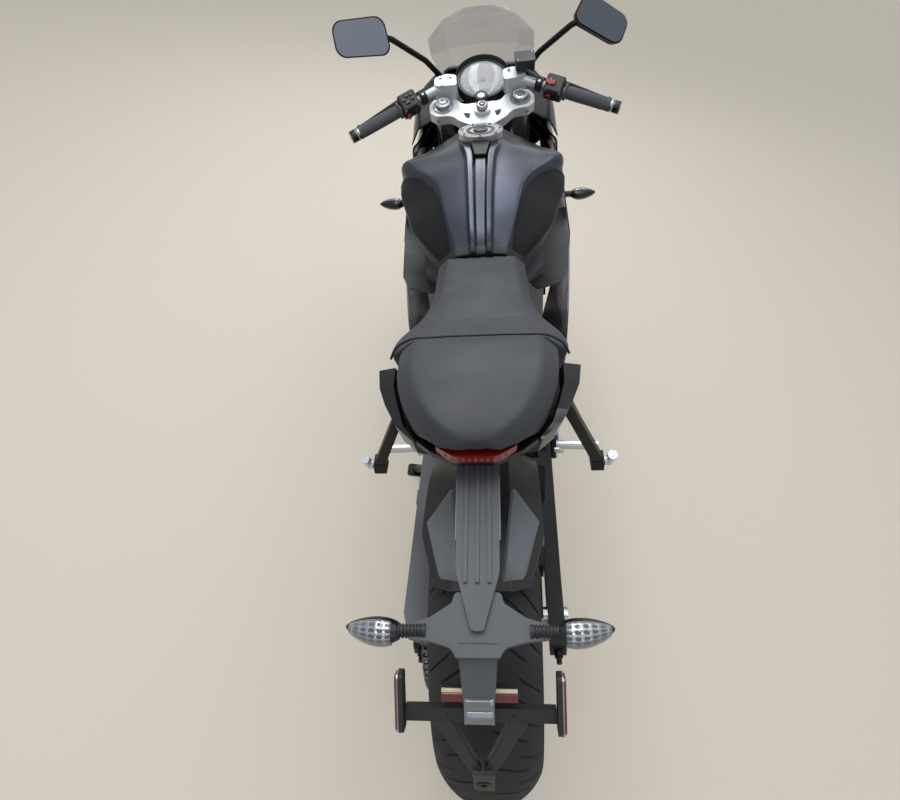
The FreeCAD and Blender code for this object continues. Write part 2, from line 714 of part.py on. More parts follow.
# The right half of the tank from the middle outwards and down: the channel's floor, the rib's inner and
# outer edges, its foot, the shoulder, the recess and the base, each (x, z, corner radius)
tank_stations = [
    (tank_rear, [(8, 838, 1), (12, 844, 2), (19, 844, 2), (24, 838, 2), (50, 836, 8), (74, 812, 8),
    (68, 790, 5)]),
    (530, [(8, 871, 1), (13, 878, 2), (21, 878, 2), (27, 871, 2), (60, 864, 12), (108, 834, 14),
    (92, 785, 6)]),
    (590, [(9, 910, 1), (14, 917, 2), (23, 917, 2), (29, 910, 2), (78, 902, 16), (150, 852, 16),
    (120, 778, 6)]),
    (670, [(10, 938, 1), (16, 945, 2), (26, 945, 2), (33, 938, 2), (100, 928, 18), (177, 866, 18),
    (132, tank_base, 6)]),
    (750, [(12, 951, 1), (19, 958, 2), (31, 958, 2), (39, 951, 2), (156, 930, 20), (196, 884, 18),
    (138, tank_base, 6)]),
    (802, [(18, 961, 1), (26, 963, 2), (40, 963, 2), (50, 957, 2), (196, 926, 22), (182, 872, 18),
    (140, tank_base, 6)]),
    (870, [(22, 963, 1), (30, 964, 2), (46, 963, 2), (56, 957, 2), (172, 910, 22), (162, 864, 16),
    (138, tank_base, 6)]),
    (935, [(22, 957, 1), (30, 958, 2), (44, 957, 2), (54, 950, 2), (150, 896, 18), (144, 854, 12),
    (122, tank_base, 6)]),
    (985, [(20, 940, 1), (28, 942, 2), (38, 942, 2), (46, 936, 2), (98, 888, 10), (100, 848, 8),
    (94, tank_base, 5)]),
]


def tank_nodes():
    """The tank with its ribbed channel and knee recesses, its filler ring and the hinged cap."""
    seat_z = cap_top - 6
    well_radius = 24
    tank = loft([section(y, half) for y, half in tank_stations])
    tank = tank.cut(Part.makeCylinder(cap_radius + 2, 40, V(0, cap_y, seat_z)))
    tank = tank.cut(Part.makeCylinder(well_radius, 60, V(0, cap_y, seat_z - 45)))
    ring = Part.makeCylinder(cap_radius, 14, V(0, cap_y, seat_z + 0.1))
    ring = ring.cut(Part.makeCylinder(well_radius, 14, V(0, cap_y, seat_z)))
    ring = ring.cut(Part.makeCylinder(cap_lid_radius + 1, 9, V(0, cap_y, seat_z + 7)))
    hinge = cap_hinge_point()
    ring = ring.cut(Part.makeBox(26, 16, 12, hinge - V(13, 8, 6)))
    lid = Part.makeCylinder(cap_lid_radius, 7, V(0, cap_y, seat_z + 7.4))
    knuckle = rod(hinge - X_AXIS * 12, hinge + X_AXIS * 12, 3.5)
    strap = Part.makeBox(24, 8, 4, hinge - V(12, 8, 2))
    return {"fuel_tank": tank, "cap_ring": ring, "cap_lid": joined(lid, knuckle, strap)}


def cap_hinge_point():
    return V(0, cap_y + cap_lid_radius + 2, cap_top + 8)


def seat_nodes():
    """The rider's saddle, wide behind and narrow at the tank, and the raised pillion pad."""
    rider = [
        (187, [(112, 849, 14), (150, 818, 14), (136, seat_base, 6)]),
        (218, [(114, 838, 16), (159, 810, 18), (142, seat_base, 6)]),
        (250, [(110, 829, 16), (157, 803, 18), (138, seat_base, 6)]),
        (285, [(102, 821, 16), (144, 797, 18), (126, seat_base, 6)]),
        (318, [(95, 817, 16), (125, 795, 14), (112, seat_base, 6)]),
        (360, [(86, 815, 16), (110, 793, 14), (100, seat_base, 6)]),
        (410, [(80, 817, 14), (101, 795, 12), (92, seat_base, 6)]),
        (460, [(76, 825, 12), (97, 804, 12), (88, seat_base, 6)]),
        (tank_rear - 0.5, [(70, 838, 12), (92, 818, 10), (84, seat_base, 6)]),
    ]
    pillion = [
        (184, [(104, 856, 14), (134, 828, 12), (128, pillion_base, 6)]),
        (140, [(104, 866, 16), (131, 842, 14), (126, pillion_base, 6)]),
        (60, [(96, 872, 18), (121, 848, 16), (114, pillion_base, 6)]),
        (4, [(80, 868, 18), (102, 844, 14), (94, pillion_base, 6)]),
        (-30, [(56, 860, 14), (80, 838, 12), (76, pillion_base, 6)]),
        (-46, [(34, 851, 10), (56, 832, 8), (54, pillion_base, 6)]),
        (-53, [(18, 843, 8), (36, 828, 8), (34, pillion_base, 6)]),
    ]
    notch = Part.makeBox(300, 160, lamp_top - pillion_base + 1 + seat_gap, V(-150, -156, pillion_base - 1))
    return {
        "rider_seat": loft([section(y, half) for y, half in rider]),
        "pillion_seat": loft([section(y, half) for y, half in pillion]).cut(notch),
    }


def tail_nodes():
    """The tail: a winged cowl each side of the pillion pad, a base under its end, and the red lamp on that."""
    top = pillion_base - 1
    cowl = loft([
        outline([(66, 772), (66, top), (129, top), (136, 818), (164, 813), (150, 774)], across(152)),
        outline([(66, 770), (66, top), (127, top), (134, 818), (157, 812), (144, 774)], across(106)),
        outline([(66, 770), (66, top), (117, top), (124, 815), (143, 811), (132, 776)], across(66)),
        outline([(66, 772), (66, top), (105, top), (110, 812), (121, 809), (112, 778)], across(20)),
        outline([(66, 776), (66, top), (88, top), (90, 805), (94, 805), (88, 780)], across(-8)),
    ], True)
    base = plate([
        (-64, 2), (64, 2), (64, -8.3), (90, -8.3, 2), (66, -32, 10), (30, -54, 20), (-30, -54, 20),
        (-66, -32, 10),
        (-90, -8.3, 2), (-64, -8.3),
    ], above(pillion_base), lamp_base - seat_gap - pillion_base)
    lamp = plate([
        (-58, -4), (58, -4), (58, -34, 8), (30, -56, 20), (-30, -56, 20), (-58, -34, 8),
    ], above(lamp_base), lamp_top - lamp_base)
    return {"tail_cowls": group(both(cowl), base), "tail_lamp": lamp}


def hanger_nodes(subframe):
    """The rear mudguard hanger, its indicator arms, and the plate carrier that hangs from its neck."""
    fall = hanger_top - hanger_knee
    length = fall.Length
    spine = plate([(-32, 0, 3), (32, 0, 3), (29, length - 76, 30), (8, length, 6), (-8, length, 6),
                   (-29, length - 76, 30)], above(0), 9)
    for cx in (-16, 0, 16):
        spine = joined(spine, Part.makeBox(5, length - 60, 5, V(cx - 2.5, 0, 8)))
    spine = sloped(spine, hanger_top, fall)
    block = Part.makeBox(124, 40, 30, V(-62, 16, 750)).cut(subframe)
    wing = plate([
        (-30, 0, 6), (-34, 14, 8), (-62, 32, 10), (-91.7, 40, 5), (-91.7, 57, 5), (-60, 61, 12),
        (-34, 68, 16),
        (-27, 80), (27, 80), (34, 68, 16), (60, 61, 12), (91.7, 57, 5), (91.7, 40, 5), (62, 32, 10),
        (34, 14, 8),
        (30, 0, 6),
    ], above(-8.5), 10)
    wing = sloped(wing, wing_root, fall)
    drop = hanger_knee - hanger_tip
    neck = plate([(-26, -8, 4), (26, -8, 4), (18, neck_length, 6), (-18, neck_length, 6)], above(-12), 12)
    neck = sloped(neck, neck_root, drop)
    hanger = joined(spine, wing, block, neck)
    back = Part.makeBox(96, 16, 14, V(-48, neck_length - 36, -26.3))
    shank = Part.makeBox(32, 40, 14, V(-16, neck_length - 34, -26.3))
    bar = Part.makeBox(194, 18, 14, V(-97, neck_length - 8, -30.3))
    frame_end = sloped(joined(back, shank, bar), neck_root, drop)
    strut = loft([
        outline([(-10, -6, 2), (10, -6, 2), (10, 6, 2), (-10, 6, 2)], lambda u,
        v: V(52 + u, -299 + v, 594 - u)),
        outline([(-7, -6, 2), (7, -6, 2), (7, 6, 2), (-7, 6, 2)], lambda u,
        v: plate_boss + V(8 + u, v, 22 - u * 0.5)),
    ], True)
    boss = Part.makeBox(28, plate_boss_depth, 58, plate_boss - V(14, plate_boss_depth / 2, 29))
    carrier = joined(frame_end, strut, mirrored(strut), boss)
    carrier = carrier.cut(rod(plate_bolt - Y_AXIS * 40, plate_bolt + Y_AXIS * 40, plate_bolt_radius))
    reflector = Part.makeBox(12, 78, 24, V(97 + seat_gap, neck_length - 55, -29))
    reflector = sloped(reflector, neck_root, drop)
    lamp = indicator(indicator_root + X_AXIS * seat_gap, X_AXIS, 80)
    return {
        "mudguard_hanger": hanger,
        "plate_carrier": carrier,
        "side_reflectors": both(reflector),
        "rear_indicators": both(lamp),
    }


def sloped(shape, top, fall):
    """A flat piece drawn along +Y, turned to run rearwards from a point down a slope."""
    shape.rotate(V(0, 0, 0), Z_AXIS, 180)
    shape.rotate(V(0, 0, 0), X_AXIS, math.degrees(math.atan2(fall.z, fall.y)))
    shape.translate(top)
    return shape


def indicator(root, outward, length):
    """One indicator: a ribbed stalk and a leaf-shaped lamp."""
    stalk = rod(root, root + outward * 24, 8)
    lamp = loft([
        outline([(-12, -12, 4), (12, -12, 4), (14, 10, 6), (-14, 10, 6)], lambda u, v: V(20, u, v)),
        outline([(-20, -17, 8), (18, -17, 8), (20, 14, 9), (-22, 14, 9)], lambda u,
        v: V(length * 0.55, u, v)),
        outline([(-14, -11, 6), (12, -11, 6), (14, 9, 6), (-16, 9, 6)], lambda u, v: V(length - 16, u, v)),
        outline([(-5, -4, 2), (4, -4, 2), (5, 3, 2), (-6, 3, 2)], lambda u, v: V(length, u, v)),
    ])
    lamp.translate(root)
    return joined(stalk, lamp)


# Fairing

nose_stations = [
    # y, then the right half's (x, z, corner radius), from the top to the bottom
    (1120, [(150, 915, 20), (203, 860, 30), (206, 740, 20), (150, 700, 20)]),
    (1250, [(140, 965, 25), (190, 880, 30), (200, 760, 25), (130, 710, 25)]),
    (1380, [(118, 1000, 25), (165, 915, 30), (178, 790, 25), (105, 735, 20)]),
    (1480, [(90, 985, 20), (132, 910, 25), (140, 805, 25), (80, 755, 20)]),
    (1570, [(56, 940, 16), (88, 890, 20), (92, 820, 20), (50, 780, 16)]),
    (1625, [(24, 895, 8), (40, 870, 10), (42, 835, 10), (22, 815, 8)]),
]


def nose_shape(inset):
    """The nose's outside, shrunk by an inset, and moved back by it at both ends."""
    wires = []
    last = len(nose_stations) - 1
    for i, (y, half) in enumerate(nose_stations):
        middle = (half[0][1] + half[-1][1]) / 2
        shrunk = [(x - inset, z - inset if z > middle else z + inset, max(r - inset, 2)) for x, z, r in half]
        end_shift = inset if i in (0, last) else 0
        wires.append(section(y - end_shift, shrunk))
    return loft(wires)


def fairing_nodes():
    """The nose cowl with its two headlamps."""
    hull = nose_shape(0)
    hollow = nose_shape(skin)
    shell = hull.cut(hollow)
    cockpit = plate([(1000, 850), (1130, 868, 40), (1390, 985, 20), (1440, 1200), (1000, 1200)], side(-260),
        520)
    under = plate([(1000, 600), (1370, 600), (1370, 800, 20), (1330, 830, 30), (1000, 760)], side(-170), 340)
    shell = shell.cut(cockpit).cut(under)
    lamp_zone = plate([(1490, 880, 8), (1640, 842, 4), (1640, 882, 4), (1500, 925, 8)], side(26), 90)
    lamp_solid = hull.common(lamp_zone)
    shell = shell.cut(lamp_zone).cut(mirrored(lamp_zone))
    lamp = lamp_solid.cut(nose_shape(14))
    return {"nose_cowl": shell, "headlamps": both(lamp)}


side_stations = [
    # y, then (x, z) down the outside face: top, waist, belly, foot
    (560, [(184, 840), (196, 640), (192, 420), (150, 130)]),
    (760, [(190, 860), (216, 660), (210, 420), (156, 120)]),
    (960, [(198, 860), (228, 680), (212, 420), (140, 120)]),
    (1130, [(203, 860), (220, 700), (190, 420), (120, 140)]),
    (1330, [(178, 880), (180, 760), (150, 480), (90, 200)]),
]


def side_panel_nodes():
    """A bellied side panel each side, cut to its outline, with the front indicator that stands on it."""
    wires = []
    for y, outer in side_stations:
        inner = [(x - skin, z) for x, z in reversed(outer)]
        wires.append(outline(outer + inner, across(y)))
    panel = plate([
        (1290, 782, 10), (1180, 700, 20), (1112, 560, 30), (1092, 420, 40), (1078, 300, 40), (1010, 200, 40),
        (880, 150, 40), (640, 142, 20), (560, 190, 20), (640, 330, 50), (700, 430, 40), (680, 520, 20),
        (720, 560, 20), (900, 640, 60), (960, 735, 30), (1000, 800, 30), (1110, 835, 10), (1118, 752, 6),
    ], side(60), 240)
    right = largest(loft(wires).common(panel).cut(nose_shape(-seat_gap)))
    lamp = largest(indicator(V(218, 1066, 724), X_AXIS, 92).cut(right))
    return {"side_panels": both(right), "front_indicators": both(lamp)}


def side_room(inset):
    """The space between the side panels' inner faces."""
    wires = []
    for y, outer in side_stations:
        inner = [(x - skin - inset, z) for x, z in outer]
        wires.append(outline(inner + [(-x, z) for x, z in reversed(inner)], across(y)))
    return loft(wires)


def inner_trim_node(frame):
    """The black inner trims, flat shelves between the frame's spars and the side panels."""
    shelf = plate([
        (100, 620, 4), (118, 574, 10), (176, 600, 20), (230, 760), (240, 900), (230, 1010, 10),
        (176, 1010, 10),
        (100, 940),
    ], above(trim_height), skin)
    right = largest(shelf.common(side_room(seat_gap)).cut(frame))
    return both(right)


def belly_pan_node():
    """The belly pan, a shallow trough under the engine that reaches out to the side panels."""
    stations = [
        # y, then the right half's (x, z): middle and edge below, edge and middle above
        (664, [(64, 114), (190, 156), (190, 160), (62, 120)]),
        (760, [(70, 108), (195, 158), (195, 162), (68, 114)]),
        (980, [(54, 116), (190, 200), (190, 204), (52, 122)]),
        (1060, [(34, 168), (180, 276), (180, 280), (32, 174)]),
    ]
    wires = []
    for y, half in stations:
        left = [(-x, z) for x, z in reversed(half)]
        wires.append(outline(half + left, across(y)))
    return loft(wires, True).common(side_room(seat_gap))


def windscreen_node():
    """A clear screen of flat facets, widest half way up, on top of the nose."""
    thick = 4.0
    stations = [
        # z, then (x, y) along the outside from the middle to the side
        (972, [(0, 1512), (86, 1482), (128, 1400)]),
        (1050, [(0, 1442), (106, 1402), (148, 1324)]),
        (1104, [(0, 1372), (104, 1326), (144, 1242)]),
        (1150, [(0, 1296), (66, 1282), (98, 1222)]),
        (1168, [(0, 1262), (40, 1252), (62, 1216)]),
    ]
    wires = []
    for z, points in stations:
        outer = points[::-1] + [(-x, y) for x, y in points[1:]]
        inner = [(x - math.copysign(thick, x) if x else 0, y - thick * 1.5) for x, y in reversed(outer)]
        wires.append(outline(outer + inner, above(z)))
    return loft(wires, True).cut(nose_shape(-seat_gap))


def instrument_normal():
    return FreeCAD.Rotation(X_AXIS, instrument_tilt).multVec(Z_AXIS)


def cockpit_nodes():
    """The round instrument and the black dash panel that carries it."""
    centre = instrument_centre
    normal = instrument_normal()
    pod = rod(centre - normal * instrument_depth, centre, instrument_radius)
    ring = rod(centre, centre + normal * 6,
        instrument_radius).cut(rod(centre, centre + normal * 6, instrument_radius - 7))
    pod = joined(pod, ring)
    panel = plate([
        (-118, 0, 10), (-150, -120, 30), (-176, -250, 10), (-160, -252, 4), (-120, -150, 40), (-80, -40, 20),
        (80, -40, 20), (120, -150, 40), (160, -252, 4), (176, -250, 10), (150, -120, 30), (118, 0, 10),
        (80, 96, 20), (-80, 96, 20),
    ], above(0), skin)
    panel.rotate(V(0, 0, 0), X_AXIS, 18)
    panel.translate(V(0, 1372, 968))
    panel = panel.cut(rod(centre - normal * 60, centre + normal * 60, instrument_radius + seat_gap))
    panel = largest(panel.common(nose_shape(skin + seat_gap)))
    return {"instrument": pod, "dash_panel": panel}


mirror_foot = V(100, 1358, 958)
mirror_head = V(309, 1178, 1132)
mirror_outline = [(-80, -38, 22), (66, -54, 30), (82, 30, 26), (-54, 52, 30)]


def mirror_piece(dash, facing):
    """The right mirror, its glass facing as told, on a forward-leaning stalk that stands on the dash panel."""
    stalk = tube([
        mirror_foot, V(162, 1310, 1040), V(240, 1232, 1112), mirror_head + V(-30, 10, 2),
    ], 8, [30, 40])
    shell = loft([
        outline(mirror_outline, above(-3)),
        outline([(x * 0.96, y * 0.94, r) for x, y, r in mirror_outline], above(-16)),
        outline([(x * 0.55, y * 0.5, r * 0.5) for x, y, r in mirror_outline], above(-34)),
    ], True)
    glass_edge = [(x * 0.95, y * 0.93, r * 0.95) for x, y, r in mirror_outline]
    glass = Part.Face(outline(glass_edge, above(-3 + seat_gap / 3))).extrude(Z_AXIS * 2.5)
    place = FreeCAD.Placement(mirror_head, FreeCAD.Rotation(Z_AXIS, facing))
    shell.Placement = place
    glass.Placement = place
    return largest(joined(shell, stalk).cut(glass).cut(dash)), glass


def mirror_nodes(dash):
    """The two mirrors, the right one turned out and up as it was left."""
    right, right_glass = mirror_piece(dash, V(0.42, -0.72, 0.55))
    left, left_glass = mirror_piece(dash, V(-0.14, -0.95, 0.2))
    return {
        "mirrors": group(right, mirrored(left)),
        "mirror_glass": group(right_glass, mirrored(left_glass)),
    }


# Swingarm, chain and what hangs on them

def swingarm_node():
    """A two-sided swingarm: tapered box arms, a pivot tube and a cross brace inside the chain loop."""
    arm_z = rear_axle.z
    outline_points = [
        (-72, arm_z - 18, 8), (-72, arm_z + 18, 8), (60, arm_z + 30, 30), (430, pivot_z + 34, 40),
        (548, pivot_z + 26, 24), (548, pivot_z - 26, 24), (430, pivot_z - 36, 40), (40, arm_z - 28, 30),
    ]
    right = plate(outline_points, side(arm_inner_right), arm_outer - arm_inner_right)
    left = plate(outline_points, side(-arm_outer), arm_outer + arm_inner_left)
    brace = Part.makeBox(arm_outer * 2 - 20, 92, 66, V(-arm_outer + 10, 362, brace_top - 66))
    brace = brace.makeFillet(14, [e for e in brace.Edges if abs(e.tangentAt(e.FirstParameter).x) > 0.9])
    boss_inner = frame_lug_outer + seat_gap
    boss = rod(V(boss_inner, pivot_y, pivot_z), V(arm_outer, pivot_y, pivot_z), 27)
    bolt_x = (arm_inner_right + arm_outer) / 2
    adjuster = rod(V(bolt_x, -94, arm_z), V(bolt_x, -60, arm_z), 5)
    adjuster_nut = rod(V(bolt_x, -82, arm_z), V(bolt_x, -71, arm_z), 8)
    arm = joined(right, left, brace, boss, mirrored(boss), adjuster, mirrored(adjuster), adjuster_nut,
        mirrored(adjuster_nut))
    arm = arm.cut(rod(V(-200, pivot_y, pivot_z), V(200, pivot_y, pivot_z), pivot_bolt_radius + running_gap))
    arm = arm.cut(rod(V(-200, 0, arm_z), V(200, 0, arm_z), rear_axle_radius + 0.05))
    for sign in (1, -1):
        start = V(sign * (arm_outer + 1), bobbin_y, arm_z)
        arm = arm.cut(rod(start, start - V(sign * (bobbin_depth + 1), 0, 0), bobbin_radius))
    return arm


def rear_axle_node():
    half = arm_outer + 6
    shaft = Part.makeCylinder(rear_axle_radius, 2 * half, V(-half, 0, rear_axle.z), X_AXIS)
    nut = Part.makeCylinder(18, 8, V(arm_outer, 0, rear_axle.z), X_AXIS)
    right_spacer_start = rear_hub_half + 0.5
    right_spacer = Part.makeCylinder(18, arm_inner_right - right_spacer_start,
        V(right_spacer_start, 0, rear_axle.z), X_AXIS)
    left_spacer_start = arm_inner_left
    left_spacer = Part.makeCylinder(15, 6, V(left_spacer_start, 0, rear_axle.z), X_AXIS)
    return joined(shaft, nut, mirrored(nut), right_spacer, left_spacer)


def pivot_bolt_node():
    half = hanger_plate_x + hanger_plate_thick + 4
    return rod(V(-half, pivot_y, pivot_z), V(half, pivot_y, pivot_z), pivot_bolt_radius)


def chain_node():
    """The drive chain: one closed loop round both sprockets."""
    big = rear_sprocket_radius + chain_gap
    small = front_sprocket_radius + seat_gap
    span = V(0, front_sprocket_y, front_sprocket_z) - rear_axle
    distance = span.Length
    tilt = math.atan2(span.z, span.y)
    drop = math.asin((big - small) / distance)
    loops = []
    for grow in (chain_height, 0):
        a = big + grow
        b = small + grow
        up = tilt + math.pi / 2 - drop
        down = tilt - math.pi / 2 + drop

        def at(centre, radius, angle):
            return centre + V(0, radius * math.cos(angle), radius * math.sin(angle))

        front = V(0, front_sprocket_y, front_sprocket_z)
        rear = rear_axle
        edges = [
            Part.LineSegment(at(rear, a, up), at(front, b, up)).toShape(),
            Part.Arc(at(front, b, up), at(front, b, tilt), at(front, b, down)).toShape(),
            Part.LineSegment(at(front, b, down), at(rear, a, down)).toShape(),
            Part.Arc(at(rear, a, down), at(rear, a, tilt + math.pi), at(rear, a, up)).toShape(),
        ]
        loops.append(Part.Face(Part.Wire(edges)))
    band = loops[0].cut(loops[1]).extrude(X_AXIS * chain_width)
    band.translate(V(chain_x - chain_width / 2, 0, 0))
    return band


def chain_guard_node():
    """The guard over the chain's top run, flanged down on the outside."""
    top_z = rear_axle.z + rear_sprocket_radius + chain_height + 12
    top = plate([
        (-130, -126, 4), (-108, -134, 6), (-101, -126, 4), (-101, 60), (-101, 360, 4), (-arm_outer, 360, 4),
        (-arm_outer, -80, 10),
    ], above(top_z), 3)
    flange = plate([
        (-80, top_z + 3, 2), (360, top_z + 3, 2), (360, top_z - 26, 6), (60, top_z - 34, 20),
        (-76, top_z - 22, 6),
    ], side(-arm_outer), 3)
    leg = plate([
        (170, pivot_z - 30, 4), (206, pivot_z - 26, 4), (206, top_z, 4), (170, top_z, 4),
    ], side(-arm_outer - 3), 3)
    return joined(top, flange, leg)


def hugger_node():
    """The hugger: a faceted inner mudguard over the front and top of the rear tyre."""
    inner = rear_tyre["radius"] + guard_gap
    profile = Part.Wire(Part.makePolygon([
        V(-97, 0, inner - 52), V(-95, 0, inner - 26), V(-44, 0, inner), V(44, 0, inner), V(95, 0, inner - 26),
        V(97, 0, inner - 52), V(99, 0, inner - 52), V(98, 0, inner - 24), V(45, 0, inner + 3),
        V(-45, 0, inner + 3),
        V(-98, 0, inner - 24), V(-99, 0, inner - 52), V(-97, 0, inner - 52),
    ]))
    arch = Part.Face(profile).revolve(V(0, 0, 0), X_AXIS, 96)
    arch.rotate(V(0, 0, 0), X_AXIS, -72)
    arch.translate(rear_axle)
    plan = [(hugger_half, 500), (hugger_half, 10), (74, -118), (44, -134)]
    arch = largest(arch.common(plate(plan + [(-x, y) for x, y in reversed(plan)], above(300), 500)))
    lug = plate([(236, 380.8), (292, 392), (280, 470), (248, 480)], side(97), 24)
    tab = Part.makeBox(6, 50, 12, V(chain_x + chain_width / 2 + seat_gap - 1, 236, 458))
    return joined(arch, lug, tab)


def rear_caliper_node():
    """A small rear caliper on a bracket that sits on the axle, ahead of it and above the arm."""
    x0 = rear_hub_half
    body = Part.makeBox(40, 74, 44, V(x0 - 14, 62, 36))
    body = body.makeFillet(6, [e for e in body.Edges if abs(e.tangentAt(e.FirstParameter).x) > 0.9])
    slot = Part.makeBox(disc_thickness + 2 * pad_gap, 200, 60, V(x0 - pad_gap, 0, 20))
    limit = Part.makeCylinder(rear_disc_radius + 6, 10, V(x0 - 5, 0, 0), X_AXIS)
    body = body.cut(slot.common(limit))
    bracket = plate([(-18, 20, 6), (20, -20, 8), (130, 20, 8), (120, 60, 6), (60, 60, 6)],
        side(x0 + disc_thickness + 9), 8)
    shape = joined(body, bracket)
    shape = shape.cut(rod(V(60, 0, 0), V(160, 0, 0), 18.3))
    shape.translate(rear_axle)
    return shape


def shock_node():
    """The rear shock, from the top of the swingarm's brace to the cross tube of the frame."""
    lower = V(0, 424, brace_top + shock_eye_radius + seat_gap)
    along = (shock_cross - lower).normalize()
    upper = shock_cross - along * (2 * shock_eye_radius + seat_gap)
    body = rod(lower, upper, 14)
    damper = rod(lower + along * 26, lower + along * 120, 22)
    eyes = [rod(at - X_AXIS * 14, at + X_AXIS * 14, shock_eye_radius) for at in (lower, upper)]
    length = (upper - lower).Length
    coils = []
    for i in range(8):
        at = lower + along * (length * (0.17 + 0.09 * i))
        coils.append(rod(at - along * 4, at + along * 4, 33))
    return joined(body, damper, *eyes, *coils)


def peg_nodes():
    """Rider's foot pegs on alloy plates, and pillion pegs at the ends of long swept hangers."""
    hanger = plate([
        (380, 360, 14), (420, 330, 14), (520, 350, 20), (560, 420, 20), (540, 480, 14), (440, 470, 30),
        (392, 410, 20),
    ], side(hanger_plate_x), hanger_plate_thick)
    hanger = hanger.cut(rod(V(0, pivot_y, pivot_z), V(300, pivot_y, pivot_z),
        pivot_bolt_radius + running_gap))
    peg_root = V(hanger_plate_x + hanger_plate_thick, 412, 376)
    peg = rod(peg_root + V(seat_gap, 0, 0), peg_root + V(100, -8, 4), 11)
    arm_top = V(120, 208, 752)
    arm_low = V(228, 258, 488)
    arm = loft([
        outline([(-14, -17, 5), (14, -17, 5), (14, 17, 5), (-14, 17, 5)], lambda u, v: arm_top + V(u, v, 0)),
        outline([(-11, -14, 4), (11, -14, 4), (11, 14, 4), (-11, 14, 4)],
                lambda u, v: (arm_top + arm_low) * 0.5 + V(u, v, 0)),
        outline([(-12, -15, 4), (12, -15, 4), (12, 15, 4), (-12, 15, 4)], lambda u, v: arm_low + V(u, v, 0)),
    ], True)
    stub = Part.makeBox(67, 30, 22, V(65, 194, 744))
    knuckle = Part.makeBox(26, 34, 26, arm_low - V(13, 17, 20))
    arm = joined(arm, stub, knuckle)
    peg_two_root = arm_low + V(13 + seat_gap, 0, -8)
    peg_two = rod(peg_two_root, peg_two_root + V(14, 0, 0), 10)
    peg_two = joined(peg_two, rod(peg_two_root + V(14, 10, -10), peg_two_root + V(14, -16, 34), 10))
    peg_two = peg_two.cut(arm)
    peg = peg.cut(hanger)
    return {
        "peg_hangers": group(both(hanger), both(arm)),
        "foot_pegs": group(both(peg), both(peg_two)),
    }


def foot_control_node():
    """The brake pedal on the right and the gear lever on the left, each on a boss of its peg hanger."""
    seat_x = hanger_plate_x + hanger_plate_thick + seat_gap
    pedal = tube([V(172, 430, 342), V(172, 520, 328), V(172, 600, 322)], 6, [60])
    boss = rod(V(seat_x, 430, 342), V(180, 430, 342), 10)
    pad = Part.makeBox(34, 30, 10, V(166, 592, 316))
    brake = joined(pedal, boss, pad)
    shift = tube([V(-172, 430, 342), V(-172, 520, 328), V(-172, 596, 326)], 6, [60])
    toe = rod(V(-166, 600, 326), V(-206, 600, 326), 8)
    return group(brake, joined(shift, mirrored(boss), toe))


def fairing_stay_node():
    """The stay in front of the head tube that carries the instrument, the cowl and the mirrors."""
    head_front = steer_base + steer_axis * 900
    beam = plate([
        (head_front.y, head_front.z - 34), (head_front.y, head_front.z + 30), (1250, 948, 20),
        (1356, 916, 20),
        (1356, 886, 10), (1250, 890, 20),
    ], side(-18), 36)
    beam = beam.cut(rod(head_front - steer_axis * 200, head_front + steer_axis * 200,
        head_tube_radius + seat_gap))
    post_top = instrument_centre - instrument_normal() * (instrument_depth + seat_gap)
    post = rod(post_top - instrument_normal() * 44, post_top, 18)
    cross = rod(V(-200, 1342, 900), V(200, 1342, 900), 9).common(nose_shape(skin + seat_gap))
    return joined(beam, post, cross)


# Side stand

def ground_height(x):
    """Height of the real ground, in the upright bike, at x, once the bike leans."""
    return -x * math.tan(math.radians(lean))


def stand_node():
    """The side stand: a flat eye on its bolt, a round leg, and a foot that lies flat on the ground."""
    foot = V(stand_foot_x, stand_foot_y, ground_height(stand_foot_x))
    up = FreeCAD.Rotation(Y_AXIS, lean).multVec(Z_AXIS)
    down = (foot - stand_pivot).normalize()
    leg = rod(stand_pivot + down * 36, foot + up * 7, stand_leg_radius)
    neck = rod(stand_pivot + down * 15, stand_pivot + down * 40, stand_eye_half)
    pad = plate([(-26, -22, 10), (20, -22, 8), (20, 22, 8), (-26, 22, 10)], above(0), 7)
    pad.Placement = FreeCAD.Placement(foot, FreeCAD.Rotation(Y_AXIS, lean))
    along = stand_axis()
    eye = rod(stand_pivot - along * stand_eye_half, stand_pivot + along * stand_eye_half, 20)
    stand = joined(leg, neck, pad, eye)
    return stand.cut(rod(stand_pivot - along * 60, stand_pivot + along * 60, stand_bolt_radius + running_gap))


def stand_axis():
    return FreeCAD.Rotation(Y_AXIS, stand_axis_tilt).multVec(X_AXIS)


def stand_bracket_node():
    """The bracket that carries the stand's bolt, on a stay from the left lug of the frame."""
    along = stand_axis()
    clear = stand_eye_half + seat_gap
    inner = stand_pivot + along * clear
    disc = rod(inner, inner + along * 9, 20)
    bolt = rod(stand_pivot - along * (clear + 4), inner + along * 4, stand_bolt_radius)
    head = rod(stand_pivot - along * (clear + 5), stand_pivot - along * clear, 13)
    stay = rod(inner + along * 5, V(-frame_lug_outer + 10, 526, 306), 12)
    eye_zone = rod(stand_pivot - along * clear, stand_pivot + along * clear, 60)
    lug_zone = Part.makeBox(100, 200, 200, V(-frame_lug_outer, 420, 200))
    stay = stay.cut(eye_zone).cut(lug_zone)
    return joined(disc, bolt, head, stay)


# Assembly

def steering_nodes():
    nodes = {}
    nodes.update(fork_nodes())
    nodes.update(bar_nodes())
    return nodes


